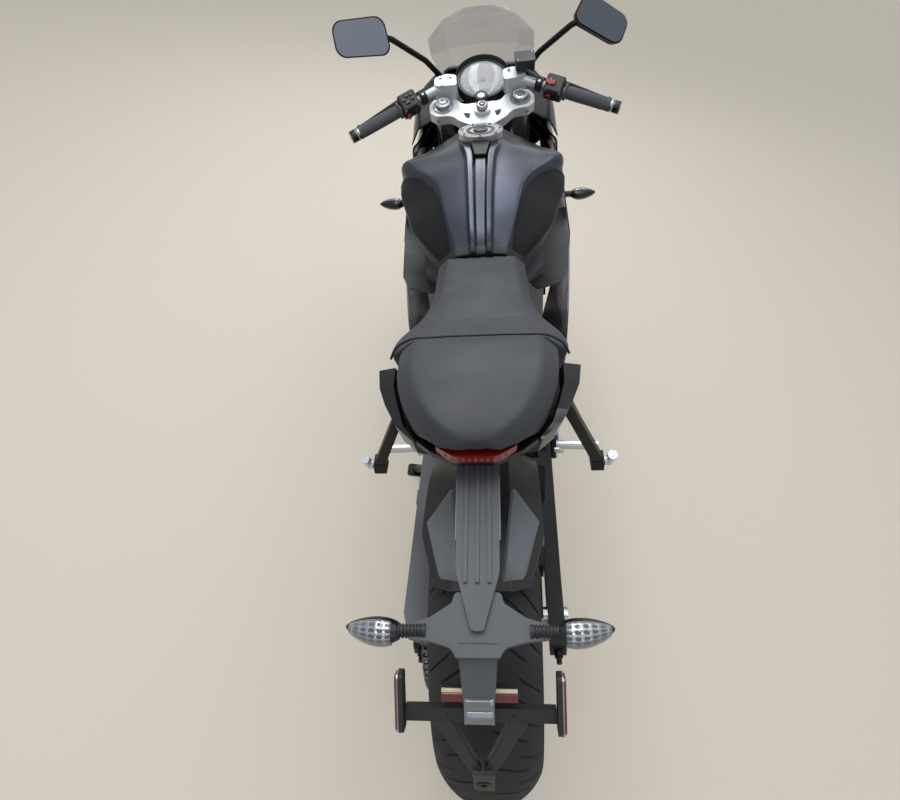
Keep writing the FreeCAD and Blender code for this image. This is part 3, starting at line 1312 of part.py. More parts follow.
def chassis_nodes():
    frame = frame_node()
    subframe = subframe_node(frame)
    nodes = {
        "frame": frame,
        "inner_trims": inner_trim_node(frame),
        "subframe": subframe,
        "engine": engine_node(frame),
        "exhaust": exhaust_node(),
        "radiator": radiator_node(frame),
        "windscreen": windscreen_node(),
        "belly_pan": belly_pan_node(),
        "swingarm": swingarm_node(),
        "rear_axle": rear_axle_node(),
        "pivot_bolt": pivot_bolt_node(),
        "chain": chain_node(),
        "chain_guard": chain_guard_node(),
        "hugger": hugger_node(),
        "rear_caliper": rear_caliper_node(),
        "shock": shock_node(),
        "foot_controls": foot_control_node(),
        "fairing_stay": fairing_stay_node(),
        "stand_bracket": stand_bracket_node(),
    }
    for part in (tank_nodes, seat_nodes, tail_nodes, fairing_nodes, side_panel_nodes,
                 cockpit_nodes, peg_nodes):
        nodes.update(part())
    nodes.update(hanger_nodes(subframe))
    nodes.update(mirror_nodes(nodes["dash_panel"]))
    return nodes


def turn_steering(shape, wheel):
    """Moves a steered piece to its rest place. A wheel is drawn in the bike, the fork in the steering frame."""
    if not wheel:
        shape.rotate(V(0, 0, 0), X_AXIS, rake)
        shape.translate(steer_base)
    shape.rotate(steer_base, steer_axis, steer_rest)
    return shape


def tyre_low_point(axle, axle_dir, size):
    """Height of a tyre's lowest point, from its axle and the circle that the crown's centre runs on."""
    ring = size["radius"] - size["crown"]
    return axle.z - ring * math.sqrt(1 - axle_dir.z ** 2) - size["crown"]


def stance():
    """The placement that leans the bike and sets both tyres on the ground."""
    roll = FreeCAD.Rotation(Y_AXIS, -lean)
    steer_turn = FreeCAD.Rotation(steer_axis, steer_rest)
    front_centre = steer_turn.multVec(front_axle - steer_base) + steer_base
    front_dir = steer_turn.multVec(X_AXIS)
    pitch = 0.0
    for _ in range(6):
        turn = FreeCAD.Rotation(X_AXIS, pitch).multiply(roll)
        front_low = tyre_low_point(turn.multVec(front_centre), turn.multVec(front_dir), front_tyre)
        rear_low = tyre_low_point(turn.multVec(rear_axle), turn.multVec(X_AXIS), rear_tyre)
        pitch -= math.degrees(math.atan2(front_low - rear_low, wheelbase))
    return FreeCAD.Placement(V(0, 0, -rear_low), turn)


def build():
    """All nodes, each in its rest place in the upright bike."""
    wheels = front_wheel_nodes()
    nodes = {name: turn_steering(shape, False) for name, shape in steering_nodes().items()}
    nodes.update({name: turn_steering(shape, True) for name, shape in wheels.items()})
    nodes.update(rear_wheel_nodes())
    nodes.update(chassis_nodes())
    nodes["side_stand"] = stand_node()
    return nodes


def settled(nodes):
    """The nodes leaned over and centred on their common box, and the placement that took them there."""
    place = stance()
    box = FreeCAD.BoundBox()
    for shape in nodes.values():
        moved = shape.transformed(place.toMatrix())
        box.add(moved.optimalBoundingBox(False, False))
    place = FreeCAD.Placement(place.Base - V(box.Center.x, box.Center.y, 0), place.Rotation)
    return {name: shape.transformed(place.toMatrix()) for name, shape in nodes.items()}, place


if __name__ == "__main__":
    os.makedirs("parts", exist_ok=True)
    for node, solid in settled(build())[0].items():
        solid.exportStep("parts/" + node + ".step")
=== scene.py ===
"""A faired sport motorcycle on its side stand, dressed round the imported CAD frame.

The CAD nodes keep their places. The classes below dress them with procedural finishes and add the
small pieces that the solids leave out. Pieces are worked out in the upright bike's own millimetres,
+X right, +Y forward and +Z up from the ground below the rear axle, and the Stance class carries them
into the leaned row frame.
"""

from __future__ import annotations

import json
import logging
import math
from dataclasses import dataclass
from enum import Enum
from typing import Iterable, Sequence

import bmesh
import bpy
import numpy as np
from mathutils import Matrix

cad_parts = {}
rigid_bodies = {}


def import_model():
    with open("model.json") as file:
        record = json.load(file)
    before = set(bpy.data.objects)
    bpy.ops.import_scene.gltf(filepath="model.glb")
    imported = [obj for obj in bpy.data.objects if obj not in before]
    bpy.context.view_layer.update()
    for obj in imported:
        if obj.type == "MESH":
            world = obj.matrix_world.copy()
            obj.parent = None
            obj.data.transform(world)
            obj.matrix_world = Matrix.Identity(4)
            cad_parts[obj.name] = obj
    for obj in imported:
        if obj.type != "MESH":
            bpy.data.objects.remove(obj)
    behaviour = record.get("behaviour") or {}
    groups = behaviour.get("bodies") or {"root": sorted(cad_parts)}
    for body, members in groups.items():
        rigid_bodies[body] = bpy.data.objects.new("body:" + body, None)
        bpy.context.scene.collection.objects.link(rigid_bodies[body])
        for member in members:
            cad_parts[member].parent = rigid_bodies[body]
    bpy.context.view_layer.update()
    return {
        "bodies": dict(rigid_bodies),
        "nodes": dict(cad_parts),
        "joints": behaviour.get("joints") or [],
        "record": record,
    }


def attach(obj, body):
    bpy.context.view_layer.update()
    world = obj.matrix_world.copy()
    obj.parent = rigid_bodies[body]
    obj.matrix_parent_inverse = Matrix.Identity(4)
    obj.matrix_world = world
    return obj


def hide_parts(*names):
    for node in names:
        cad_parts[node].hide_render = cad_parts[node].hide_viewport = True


LOG = logging.getLogger("sport_bike")
MM = 0.001
# In metres: points of one mesh that are closer than this are one point
SAME_POINT = 2e-5
# In metres: an edge shorter than this is taken out
NO_LENGTH = 1e-6
# A bevel softens the edges where the faces turn by more than this
BEVEL_FROM_DEG = 30
Point = tuple[float, float, float]
# A mesh: points in millimetres, and faces as lists of corners
Part = tuple[np.ndarray, list]
# Places along Y, each with the right half's corners (x, z, radius)
Stations = Sequence[tuple[float, Sequence[Point]]]


class Shape(Enum):
    """How a grid of points closes on itself."""

    OPEN = "open"
    ROUND = "round"
    TORUS = "torus"


def to_linear(code: str) -> tuple[float, float, float, float]:
    """Turns an sRGB hex colour into linear light.

    Args:
        code: six hex digits, such as "3a3d42".

    Returns:
        Red, green, blue and an alpha of one.
    """
    parts = [int(code[i : i + 2], 16) / 255 for i in (0, 2, 4)]
    linear = [c / 12.92 if c <= 0.04045 else ((c + 0.055) / 1.055) ** 2.4 for c in parts]
    return linear[0], linear[1], linear[2], 1.0


def add(
    tree: bpy.types.NodeTree,
    kind: str,
    settings: dict | None = None,
    values: dict | None = None,
    links: dict | None = None,
) -> bpy.types.Node:
    """Adds a node with its settings, its values and its links.

    Args:
        tree: the node tree that takes the node.
        kind: Blender's name for the kind of node.
        settings: attributes of the node itself.
        values: numbers or colours by the name or index of the socket.
        links: (node, output) pairs by the name or index of the socket.

    Returns:
        The new node.
    """
    node = tree.nodes.new(kind)
    for name, value in (settings or {}).items():
        setattr(node, name, value)
    for name, value in (values or {}).items():
        node.inputs[name].default_value = value
    for name, (source, output) in (links or {}).items():
        tree.links.new(source.outputs[output], node.inputs[name])
    return node


def placed(name: str, data: bpy.types.ID) -> bpy.types.Object:
    """Makes an object of a mesh, a lamp or a camera and puts it into the scene.

    Args:
        name: the object's name.
        data: the mesh, the lamp or the camera.

    Returns:
        The object.
    """
    piece = bpy.data.objects.new(name, data)
    bpy.context.scene.collection.objects.link(piece)
    return piece


@dataclass(frozen=True)
class Surface:
    """A material by its name. Each kind of surface links its own nodes."""

    name: str

    def build(self) -> bpy.types.Material:
        """Makes the material, once for each name.

        Returns:
            The material.
        """
        label = self.name + "_surface"
        material = bpy.data.materials.get(label)
        if material is None:
            material = bpy.data.materials.new(label)
            material.use_nodes = True
            self.wire(material.node_tree, material.node_tree.nodes["Principled BSDF"])
        return material

    def wire(self, tree: bpy.types.NodeTree, shader: bpy.types.Node) -> None:
        """Links the surface's own nodes to its shader."""
        raise NotImplementedError


@dataclass(frozen=True)
class Finish(Surface):
    """A surface finish: a base colour that wanders a little, and a fine relief.

    The grain size is the real one in millimetres, drawn no finer than shows in the render.
    """

    colour: str
    second: str
    roughness: float
    metallic: float = 0.0
    spread: float = 0.08
    grain_mm: float = 2.0
    relief_mm: float = 0.03
    patch_mm: float = 90.0
    coat: float = 0.0
    coat_roughness: float = 0.1
    specular: float = 0.5

    def wire(self, tree: bpy.types.NodeTree, shader: bpy.types.Node) -> None:
        """Links the colour, the roughness and the relief, and sets the rest.

        Args:
            tree: the material's nodes.
            shader: its principled shader.
        """
        place = add(tree, "ShaderNodeTexCoord")
        patches = self.patches(tree, place)
        tree.links.new(self.tone(tree, patches).outputs[2], shader.inputs["Base Color"])
        limits = {
            "From Min": 0.3, "From Max": 0.7,
            "To Min": max(self.roughness - self.spread, 0.03), "To Max": self.roughness + self.spread,
        }
        rough = add(tree, "ShaderNodeMapRange", values=limits, links={"Value": (patches, "Fac")})
        tree.links.new(rough.outputs["Result"], shader.inputs["Roughness"])
        self.relief(tree, place, shader)
        for socket, value in (
            ("Metallic", self.metallic), ("Coat Weight", self.coat),
            ("Coat Roughness", self.coat_roughness), ("Specular IOR Level", self.specular),
        ):
            shader.inputs[socket].default_value = value

    def patches(self, tree: bpy.types.NodeTree, place: bpy.types.Node, rough: float = 0.55) -> bpy.types.Node:
        """Soft noise as wide as the finish's patches."""
        values = {"Scale": 1000 / self.patch_mm, "Detail": 3.0, "Roughness": rough}
        return add(tree, "ShaderNodeTexNoise", values=values, links={"Vector": (place, "Object")})

    def tone(self, tree: bpy.types.NodeTree, patches: bpy.types.Node) -> bpy.types.Node:
        """The colour, which runs between the finish's two by the patches."""
        values = {6: to_linear(self.colour), 7: to_linear(self.second)}
        return add(tree, "ShaderNodeMix", {"data_type": "RGBA"}, values, {0: (patches, "Fac")})

    def relief(self, tree: bpy.types.NodeTree, place: bpy.types.Node, shader: bpy.types.Node) -> None:
        """Bumps the shader with noise as fine as the grain.

        Args:
            tree: the material's nodes.
            place: the node of texture coordinates.
            shader: its principled shader.
        """
        values = {"Scale": 1000 / self.grain_mm, "Detail": 2.0}
        grain = add(tree, "ShaderNodeTexNoise", values=values, links={"Vector": (place, "Object")})
        values = {"Strength": 0.5, "Distance": self.relief_mm * MM}
        bump = add(tree, "ShaderNodeBump", values=values, links={"Height": (grain, "Fac")})
        tree.links.new(bump.outputs["Normal"], shader.inputs["Normal"])


# Satin graphite lacquer over pressed steel and the panels: soft, wide highlights
TANK_PAINT = Finish(
    "satin_graphite_lacquer", "3d414a", "474b54", 0.25, metallic=1.0, spread=0.03, grain_mm=1.2,
    relief_mm=0.01,
)
# Matte black lacquer, sprayed on inner parts and the knee recesses: dark, with hardly a highlight
MATTE_PAINT = Finish("matte_black_lacquer", "0c0d10", "111215", 0.5, grain_mm=1.5, specular=0.25)
# Gloss black lacquer, sprayed on the tail cowls: sharp streaks of light
GLOSS_BLACK = Finish(
    "gloss_black_lacquer", "0d0e12", "121317", 0.2, coat=0.25, coat_roughness=0.06, relief_mm=0.004,
    specular=0.3,
)
# Black ABS, moulded with a spark-eroded grain: dull black that breaks the light up
BLACK_ABS = Finish("grained_black_abs", "1a1b1c", "202123", 0.5, grain_mm=1.6, relief_mm=0.05)
# Grey ABS, moulded with the same grain, on the mudguard hanger: dull mid grey
GREY_ABS = Finish("grained_grey_abs", "484b50", "52555a", 0.55, grain_mm=1.6, relief_mm=0.05)
# Black powder coat, baked on steel and aluminium: deep black with a soft sheen
BLACK_COAT = Finish(
    "black_powder_coat", "0f1012", "151618", 0.45, grain_mm=1.8, relief_mm=0.02, specular=0.25
)
# Grey powder coat, baked on the frame and the chain guard: even grey with a soft sheen
GREY_COAT = Finish("grey_powder_coat", "55575c", "5e6065", 0.5, metallic=0.4, grain_mm=1.8, relief_mm=0.02)
# Cast aluminium under silver lacquer, for the top yoke and the bars: pale, with a broad sheen
CAST_SILVER = Finish("silver_cast_alloy", "b4b8bd", "c0c4c8", 0.38, metallic=0.35, grain_mm=1.0)
# Dull plating on the plate lamp's cap: grey metal with blurred reflections
DULL_PLATE = Finish("dull_plated_cap", "85898e", "93979b", 0.3, metallic=0.9, relief_mm=0.01)
# Polished aluminium of the pegs and the foot controls: bright, with short highlights
PEG_ALLOY = Finish("polished_alloy", "c9ccd0", "d5d7da", 0.24, metallic=0.6, relief_mm=0.02)
# Rolled and oiled steel of the chain: dark grey metal with a greasy sheen
CHAIN_STEEL = Finish(
    "oiled_chain_steel", "6b6c6d", "77787a", 0.36, metallic=0.9, grain_mm=1.0, relief_mm=0.02
)
# Turned and ground steel of axles, discs, fork tubes and screws: clear grey reflections
STEEL = Finish("turned_steel", "9b9da0", "a9abae", 0.28, metallic=1.0, grain_mm=0.8, relief_mm=0.01)
# Chrome plating on the fuel cap's lid: it mirrors the studio
CHROME = Finish("bright_chrome", "d5d7da", "dfe0e2", 0.08, metallic=1.0, spread=0.03, relief_mm=0.002)
# Rough coat sprayed on the engine's casting: dark grey and dull
ENGINE_COAT = Finish("engine_grey_coat", "2b2c2e", "343537", 0.5, metallic=0.4, grain_mm=1.2, relief_mm=0.05)
# Moulded rubber of the grips and the reservoir's hose: soft grey, nearly without gloss
RUBBER = Finish("grip_rubber", "44464b", "4d5055", 0.72, grain_mm=1.4, relief_mm=0.06, specular=0.35)
# Vulcanised tyre rubber, its grey raised a little as painted sheen: dull dark grey, paler in patches
TYRE = Finish(
    "tyre_rubber", "262729", "343537", 0.78, grain_mm=1.5, relief_mm=0.06, patch_mm=60, specular=0.3
)
# Embossed vinyl of the seats: a fine grain with a low, wide gloss
VINYL = Finish("seat_vinyl", "303338", "373a40", 0.6, grain_mm=2.2, relief_mm=0.12, specular=0.38)
# Moulded red acrylic of the tail lamp and the reflectors: deep red under a clear gloss
RED_LENS = Finish("red_lens", "5a0b0f", "680d11", 0.2, coat=1.0, relief_mm=0.01)
# Satin steel of the exhaust: grey metal with blurred streaks
SILVER_TUBE = Finish("satin_silencer_steel", "5c5e61", "6a6c6f", 0.32, metallic=0.9)
# Silvered glass of the mirrors, toned down: grey, nearly sharp reflections
MIRROR = Finish("silvered_glass", "666c74", "6b7179", 0.05, metallic=1.0, spread=0.01, relief_mm=0.001)
# Smooth moulded black ABS of the signals, the bar ends and the buttons: small, clear highlights
GLOSS_ABS = Finish("gloss_black_abs", "0f1012", "141518", 0.24, relief_mm=0.005)
# Pale grey ABS, moulded with a grain, on the hugger's panels: light and dull. The same pale grey on the two
# strips beside the hanger's spine is painted highlight
PALE_ABS_AND_HIGHLIGHT = Finish("pale_abs_and_highlight", "62666c", "6c7076", 0.5, grain_mm=1.6, relief_mm=0.05)
# Metallised plastic cup behind a clear signal lens: bright, broken reflections
REFLECTOR = Finish("signal_reflector", "cfd3d8", "dadde1", 0.22, metallic=0.9, relief_mm=0.01)
# Moulded cream plastic of the reflector bars and the signals' edges: warm, pale gloss
CREAM_LENS = Finish("cream_lens", "c4b994", "cfc5a4", 0.3, coat=0.6)
# White print on the dial and the rocker: flat and pale
PALE_EDGE = Finish("pale_print", "c6c8ca", "cfd1d3", 0.4)
# Moulded red plastic of the switches and the pointer: clear red with a soft gloss
RED_SWITCH = Finish("red_switch_plastic", "8c1a1b", "9a2021", 0.35)
# Printed face of the dial: flat mid grey
DIAL = Finish("dial_face", "6d7175", "74787c", 0.45)
# Unlit segment display under its window: greenish grey with a soft gloss
LCD = Finish("segment_display", "8b938b", "929a92", 0.2)
# Moulded domes of the unlit diodes: dark red, with a point of light on each
DIODE = Finish("red_diode", "7c0f13", "8c1418", 0.25, coat=0.6)


@dataclass(frozen=True)
class ClearSheet(Surface):
    """Clear moulded polycarbonate, which bends nothing and shows its edge and its gloss."""

    tint: str
    roughness: float = 0.05
    clear: float = 0.85
    edge: float = 0.85
    gloss: float = 0.5
    edge_blend: float = 0.35

    def wire(self, tree: bpy.types.NodeTree, shader: bpy.types.Node) -> None:
        """Lets the shader show less of itself where the sheet faces the view.

        Args:
            tree: the material's nodes.
            shader: its principled shader.
        """
        shader.inputs["Base Color"].default_value = to_linear(self.tint)
        shader.inputs["Roughness"].default_value = self.roughness
        shader.inputs["Coat Weight"].default_value = self.gloss
        view = add(tree, "ShaderNodeLayerWeight", values={"Blend": self.edge_blend})
        limits = {"From Min": 0.0, "From Max": 1.0, "To Min": 1 - self.clear, "To Max": self.edge}
        alpha = add(tree, "ShaderNodeMapRange", values=limits, links={"Value": (view, "Facing")})
        tree.links.new(alpha.outputs["Result"], shader.inputs["Alpha"])


# Moulded clear polycarbonate of the windscreen: nearly unseen, with a greyer edge
CLEAR_SCREEN = ClearSheet("clear_polycarbonate", "aab3bc", clear=0.94, edge=0.5)
# Moulded covers of the headlamps: clear, but with some of their own pale surface
CLEAR_LENS = ClearSheet("clear_lens", "c9cdd0", clear=0.4)
# Moulded lenses of the signals: a grey gloss over the bright cup
FACET_LENS = ClearSheet("faceted_clear_lens", "8f9499")
# Moulded clear dome over the instrument: a gloss and a pale rim
CLEAR_DOME = ClearSheet("instrument_dome", "dfe2e4", roughness=0.03)


@dataclass(frozen=True)
class TwoTone(Surface):
    """Two lacquers on one piece with a masked edge between them.

    The mask is either a number on each point, in millimetres past the edge, or the distance along an
    axis: the dot product of the place and the axis, less the axis's own start.
    """

    before: Finish
    after: Finish
    attribute: str = ""
    axis: Point = (0.0, 1.0, 0.0)
    start: float = 0.0
    edge: float = 0.001

    def wire(self, tree: bpy.types.NodeTree, shader: bpy.types.Node) -> None:
        """Mixes the two finishes' numbers by the mask.

        Args:
            tree: the material's nodes.
            shader: its principled shader.
        """
        place = add(tree, "ShaderNodeTexCoord")
        mask = self._mask(tree, place)
        patches = self.before.patches(tree, place, 0.5)
        first, second = (finish.tone(tree, patches) for finish in (self.before, self.after))
        links = {0: (mask, "Result"), 6: (first, 2), 7: (second, 2)}
        colour = add(tree, "ShaderNodeMix", {"data_type": "RGBA"}, links=links)
        tree.links.new(colour.outputs[2], shader.inputs["Base Color"])
        for socket, label in (
            ("Roughness", "roughness"), ("Metallic", "metallic"), ("Coat Weight", "coat"),
            ("Specular IOR Level", "specular"),
        ):
            values = {2: getattr(self.before, label), 3: getattr(self.after, label)}
            blend = add(tree, "ShaderNodeMix", values=values, links={0: (mask, "Result")})
            tree.links.new(blend.outputs[0], shader.inputs[socket])
        shader.inputs["Coat Roughness"].default_value = self.after.coat_roughness
        self.after.relief(tree, place, shader)

    def _mask(self, tree: bpy.types.NodeTree, place: bpy.types.Node) -> bpy.types.Node:
        """Zero on the first lacquer and one on the second.

        Args:
            tree: the material's nodes.
            place: the node of texture coordinates.

        Returns:
            The node whose result is the mask.
        """
        if self.attribute:
            source = add(tree, "ShaderNodeAttribute", settings={"attribute_name": self.attribute})
            limits = {"From Min": -0.6, "From Max": 0.6}
            return add(tree, "ShaderNodeMapRange", values=limits, links={"Value": (source, "Fac")})
        along = add(
            tree, "ShaderNodeVectorMath", settings={"operation": "DOT_PRODUCT"}, values={1: self.axis},
            links={0: (place, "Object")},
        )
        limits = {"From Min": self.start, "From Max": self.start + self.edge}
        return add(tree, "ShaderNodeMapRange", values=limits, links={"Value": (along, "Value")})


# The tank's satin lacquer, masked matte black in both knee recesses
TANK_LACQUER = TwoTone("tank_lacquer", TANK_PAINT, MATTE_PAINT, attribute="recess")


@dataclass(frozen=True)
class Stance:
    """Where the upright bike's millimetres lie in the row frame, and how the fork stands in the bike."""

    origin: np.ndarray
    axes: np.ndarray
    steer_turn: np.ndarray
    rear_radius: float = 315.0
    rake_deg: float = 23.8
    steer_rest_deg: float = 3.5
    steer_base: Point = (0.0, 1510.0, 0.0)

    @classmethod
    def from_joints(cls, joints: Sequence[dict]) -> "Stance":
        """Reads the stance from the rear wheel's axle and the steering axis.

        The steering axis is -sin(rake) forward plus cos(rake) up, and its cross product with the axle
        gives the other pair, so the bike's own axes follow.

        Args:
            joints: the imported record's joints.

        Returns:
            The stance.
        """
        by_name = {joint["name"]: joint for joint in joints}
        across = -np.array(by_name["rear_wheel_spin"]["axis"], float)
        steer = np.array(by_name["steering"]["axis"], float)
        across /= np.linalg.norm(across)
        steer /= np.linalg.norm(steer)
        sine, cosine = math.sin(math.radians(cls.rake_deg)), math.cos(math.radians(cls.rake_deg))
        other = np.cross(across, steer)
        forward = -sine * steer - cosine * other
        up = cosine * steer - sine * other
        origin = np.array(by_name["rear_wheel_spin"]["pos_m"], float) - up * cls.rear_radius * MM
        angle = math.radians(cls.steer_rest_deg)
        cross = np.array([[0, -cosine, -sine], [cosine, 0, 0], [sine, 0, 0]])
        turn = np.eye(3) + math.sin(angle) * cross + (1 - math.cos(angle)) * cross @ cross
        return cls(origin, np.array([across, forward, up]), turn)

    def place(self, points: np.ndarray) -> np.ndarray:
        """Takes upright-bike millimetres to row metres: origin + points times the axes."""
        return self.origin + np.asarray(points, float) * MM @ self.axes

    def aim(self, directions: np.ndarray) -> np.ndarray:
        """Turns directions of the upright bike into the row frame."""
        return np.asarray(directions, float) @ self.axes

    def from_fork(self, points: np.ndarray) -> np.ndarray:
        """Takes steering-frame millimetres, +Z up the steering axis, to turned upright-bike millimetres.

        Args:
            points: one row for each point.

        Returns:
            The same rows in the upright bike.
        """
        sine, cosine = math.sin(math.radians(self.rake_deg)), math.cos(math.radians(self.rake_deg))
        tilt = np.array([[1, 0, 0], [0, cosine, -sine], [0, sine, cosine]])
        return np.asarray(points, float) @ tilt.T @ self.steer_turn.T + np.array(self.steer_base)


def lattice(rows: int, columns: int, shape: Shape = Shape.ROUND) -> np.ndarray:
    """Lists a grid's quads: corner (i, j) joins (i, j + 1), (i + 1, j + 1) and (i + 1, j).

    Args:
        rows: how many rows the grid has.
        columns: how many points a row has.
        shape: which of its ways the grid closes.

    Returns:
        An array of four corners for each face.
    """
    across = columns - 1 if shape is Shape.OPEN else columns
    along = rows if shape is Shape.TORUS else rows - 1
    i, j = np.meshgrid(np.arange(along), np.arange(across), indexing="ij")
    after_i, after_j = (i + 1) % rows, (j + 1) % columns
    corners = (i * columns + j, i * columns + after_j, after_i * columns + after_j, after_i * columns + j)
    return np.stack(corners, axis=-1).reshape(-1, 4)


def unit(vector: Sequence[float] | np.ndarray) -> np.ndarray:
    """Scales vectors to a length of one."""
    vector = np.asarray(vector, float)
    return vector / np.linalg.norm(vector, axis=-1, keepdims=True)


def frame_of(axis: Sequence[float], up: Sequence[float] = (0, 0, 1)) -> np.ndarray:
    """Gives three unit rows: sideways, upwards and along an axis.

    Sideways is up cross axis, and upwards is axis cross sideways.

    Args:
        axis: the third row's direction.
        up: a guide for upwards, with +Y in its place where it nearly follows the axis.

    Returns:
        The rows.
    """
    along = unit(axis)
    guide = np.asarray(up, float)
    if abs(unit(guide) @ along) > 0.97:
        guide = np.array([0.0, 1.0, 0.0])
    side = unit(np.cross(guide, along))
    return np.array([side, np.cross(along, side), along])


def turned(
    profile: Sequence[Sequence[float]], at: Sequence[float], axis: Sequence[float], steps: int = 40
) -> Part:
    """Turns a profile about an axis: row (r, h) at angle a gives r cos a, r sin a and h.

    Args:
        profile: (radius, height) pairs, with a radius of zero where the surface closes.
        at: where height zero lies on the axis.
        axis: the direction of growing height.
        steps: points round.

    Returns:
        Points and faces.
    """
    shape = np.asarray(profile, float)
    angle = np.linspace(0, 2 * math.pi, steps, endpoint=False)
    flat = np.stack([np.cos(angle), np.sin(angle)], axis=-1)
    height = np.broadcast_to(shape[:, None, 1:], (len(shape), steps, 1))
    local = np.concatenate([shape[:, None, :1] * flat[None], height], axis=-1)
    points = np.asarray(at, float) + local.reshape(-1, 3) @ frame_of(axis)
    return points, lattice(len(shape), steps).tolist()


def hooped(
    profile: Sequence[Sequence[float]], at: Sequence[float], axis: Sequence[float], steps: int = 40
) -> Part:
    """Turns a closed profile about an axis, as a washer's section goes round its hole."""
    points, _ = turned(profile, at, axis, steps)
    return points, lattice(len(profile), steps, Shape.TORUS).tolist()


def through(knots: Sequence[float], values: np.ndarray, at: np.ndarray) -> np.ndarray:
    """Runs a cubic Hermite curve through knots, each slope taken from the neighbours on both sides.

    Args:
        knots: growing parameters.
        values: one row of numbers for each knot.
        at: the parameters wanted.

    Returns:
        One row for each wanted parameter.
    """
    knots = np.asarray(knots, float)
    values = np.asarray(values, float)
    slopes = np.gradient(values, knots, axis=0)
    k = np.clip(np.searchsorted(knots, at, side="right") - 1, 0, len(knots) - 2)
    step = (knots[k + 1] - knots[k]).reshape((-1,) + (1,) * (values.ndim - 1))
    t = (at - knots[k]).reshape(step.shape) / step
    return (
        (2 * t**3 - 3 * t**2 + 1) * values[k] + (t**3 - 2 * t**2 + t) * step * slopes[k]
        + (3 * t**2 - 2 * t**3) * values[k + 1] + (t**3 - t**2) * step * slopes[k + 1]
    )


def swept(
    path: Sequence[Sequence[float]], radius: float | Sequence[float], steps: int = 16, samples: int = 0,
    squash: float = 1.0, up: Sequence[float] = (0, 0, 1),
) -> Part:
    """Carries a circle along a path and closes both ends on a point.

    At each point the circle lies across the path's own direction: side r cos a, upwards r sin a times squash.

    Args:
        path: the points that the middle follows.
        radius: one radius, or one for each path point.
        steps: points round.
        samples: how many points a smooth curve through the path gets, or none for the path itself.
        squash: height of the section over its width.
        up: a direction that is never along the path.

    Returns:
        Points and faces.
    """
    line = np.asarray(path, float)
    radii = np.broadcast_to(np.asarray(radius, float), (len(line),)).astype(float)
    if samples:
        knots = np.concatenate([[0], np.cumsum(np.linalg.norm(np.diff(line, axis=0), axis=1))])
        at = np.linspace(0, knots[-1], samples)
        line, radii = through(knots, line, at), through(knots, radii[:, None], at)[:, 0]
    along = unit(np.gradient(line, axis=0))
    side = unit(np.cross(np.asarray(up, float), along))
    over = np.cross(along, side)
    line, side, over = (np.concatenate([a[:1], a, a[-1:]]) for a in (line, side, over))
    radii = np.concatenate([[0.0], radii, [0.0]])
    angle = np.linspace(0, 2 * math.pi, steps, endpoint=False)
    turn = angle[None, :, None]
    ring = np.cos(turn) * side[:, None] + squash * np.sin(turn) * over[:, None]
    points = line[:, None] + radii[:, None, None] * ring
    return points.reshape(-1, 3), lattice(len(line), steps).tolist()


def rounded(corners: np.ndarray, radii: np.ndarray, samples: int = 6, fill: int = 0) -> np.ndarray:
    """Rounds the corners of closed outlines with quadratic arcs.

    Between the points where the arc leaves its sides, a and c, with the corner b, the arc is
    (1 - t)(1 - t) a + 2 t (1 - t) b + t t c.

    Args:
        corners: rows of outlines, each of corners in the plane.
        radii: a radius for each corner of each row.
        samples: points on each corner.
        fill: points added on each straight side.

    Returns:
        Rows of outlines with every corner rounded.
    """
    before = np.roll(corners, 1, axis=1) - corners
    after = np.roll(corners, -1, axis=1) - corners
    before_length = np.linalg.norm(before, axis=-1)
    after_length = np.linalg.norm(after, axis=-1)
    product = np.maximum(before_length * after_length, 1e-9)
    cosine = np.clip((before * after).sum(-1) / product, -0.9999, 0.9999)
    reach = radii / np.tan(np.arccos(cosine) / 2)
    reach = np.minimum(reach, 0.48 * np.minimum(before_length, after_length))
    start = corners + before / before_length[..., None] * reach[..., None]
    end = corners + after / after_length[..., None] * reach[..., None]
    t = np.linspace(0, 1, samples)[:, None]
    arcs = (
        (1 - t) ** 2 * start[:, :, None] + 2 * t * (1 - t) * corners[:, :, None] + t**2 * end[:, :, None]
    )
    if fill:
        u = (np.arange(fill) + 1.0)[:, None] / (fill + 1)
        sides = (1 - u) * arcs[:, :, -1:] + u * np.roll(arcs[:, :, :1], -1, axis=1)
        arcs = np.concatenate([arcs, sides], axis=2)
    return arcs.reshape(len(corners), -1, 2)


def sections(stations: Stations, at: np.ndarray, samples: int, fill: int) -> np.ndarray:
    """Gives mirrored, rounded outlines (x, z) along Y. Each corner runs through its stations smoothly.

    Args:
        stations: (y, right half's corners as (x, z, radius)).
        at: where along Y the outlines are wanted.
        samples: points on each corner.
        fill: points added on each straight side.

    Returns:
        One outline for each wanted place.
    """
    stations = sorted(stations, key=lambda station: station[0])
    halves = np.array([half for _, half in stations], float)
    half = through([y for y, _ in stations], halves, at)
    full = np.concatenate([half, half[:, ::-1] * np.array([-1.0, 1.0, 1.0])], axis=1)
    return rounded(full[..., :2], np.maximum(full[..., 2], 0.5), samples, fill)


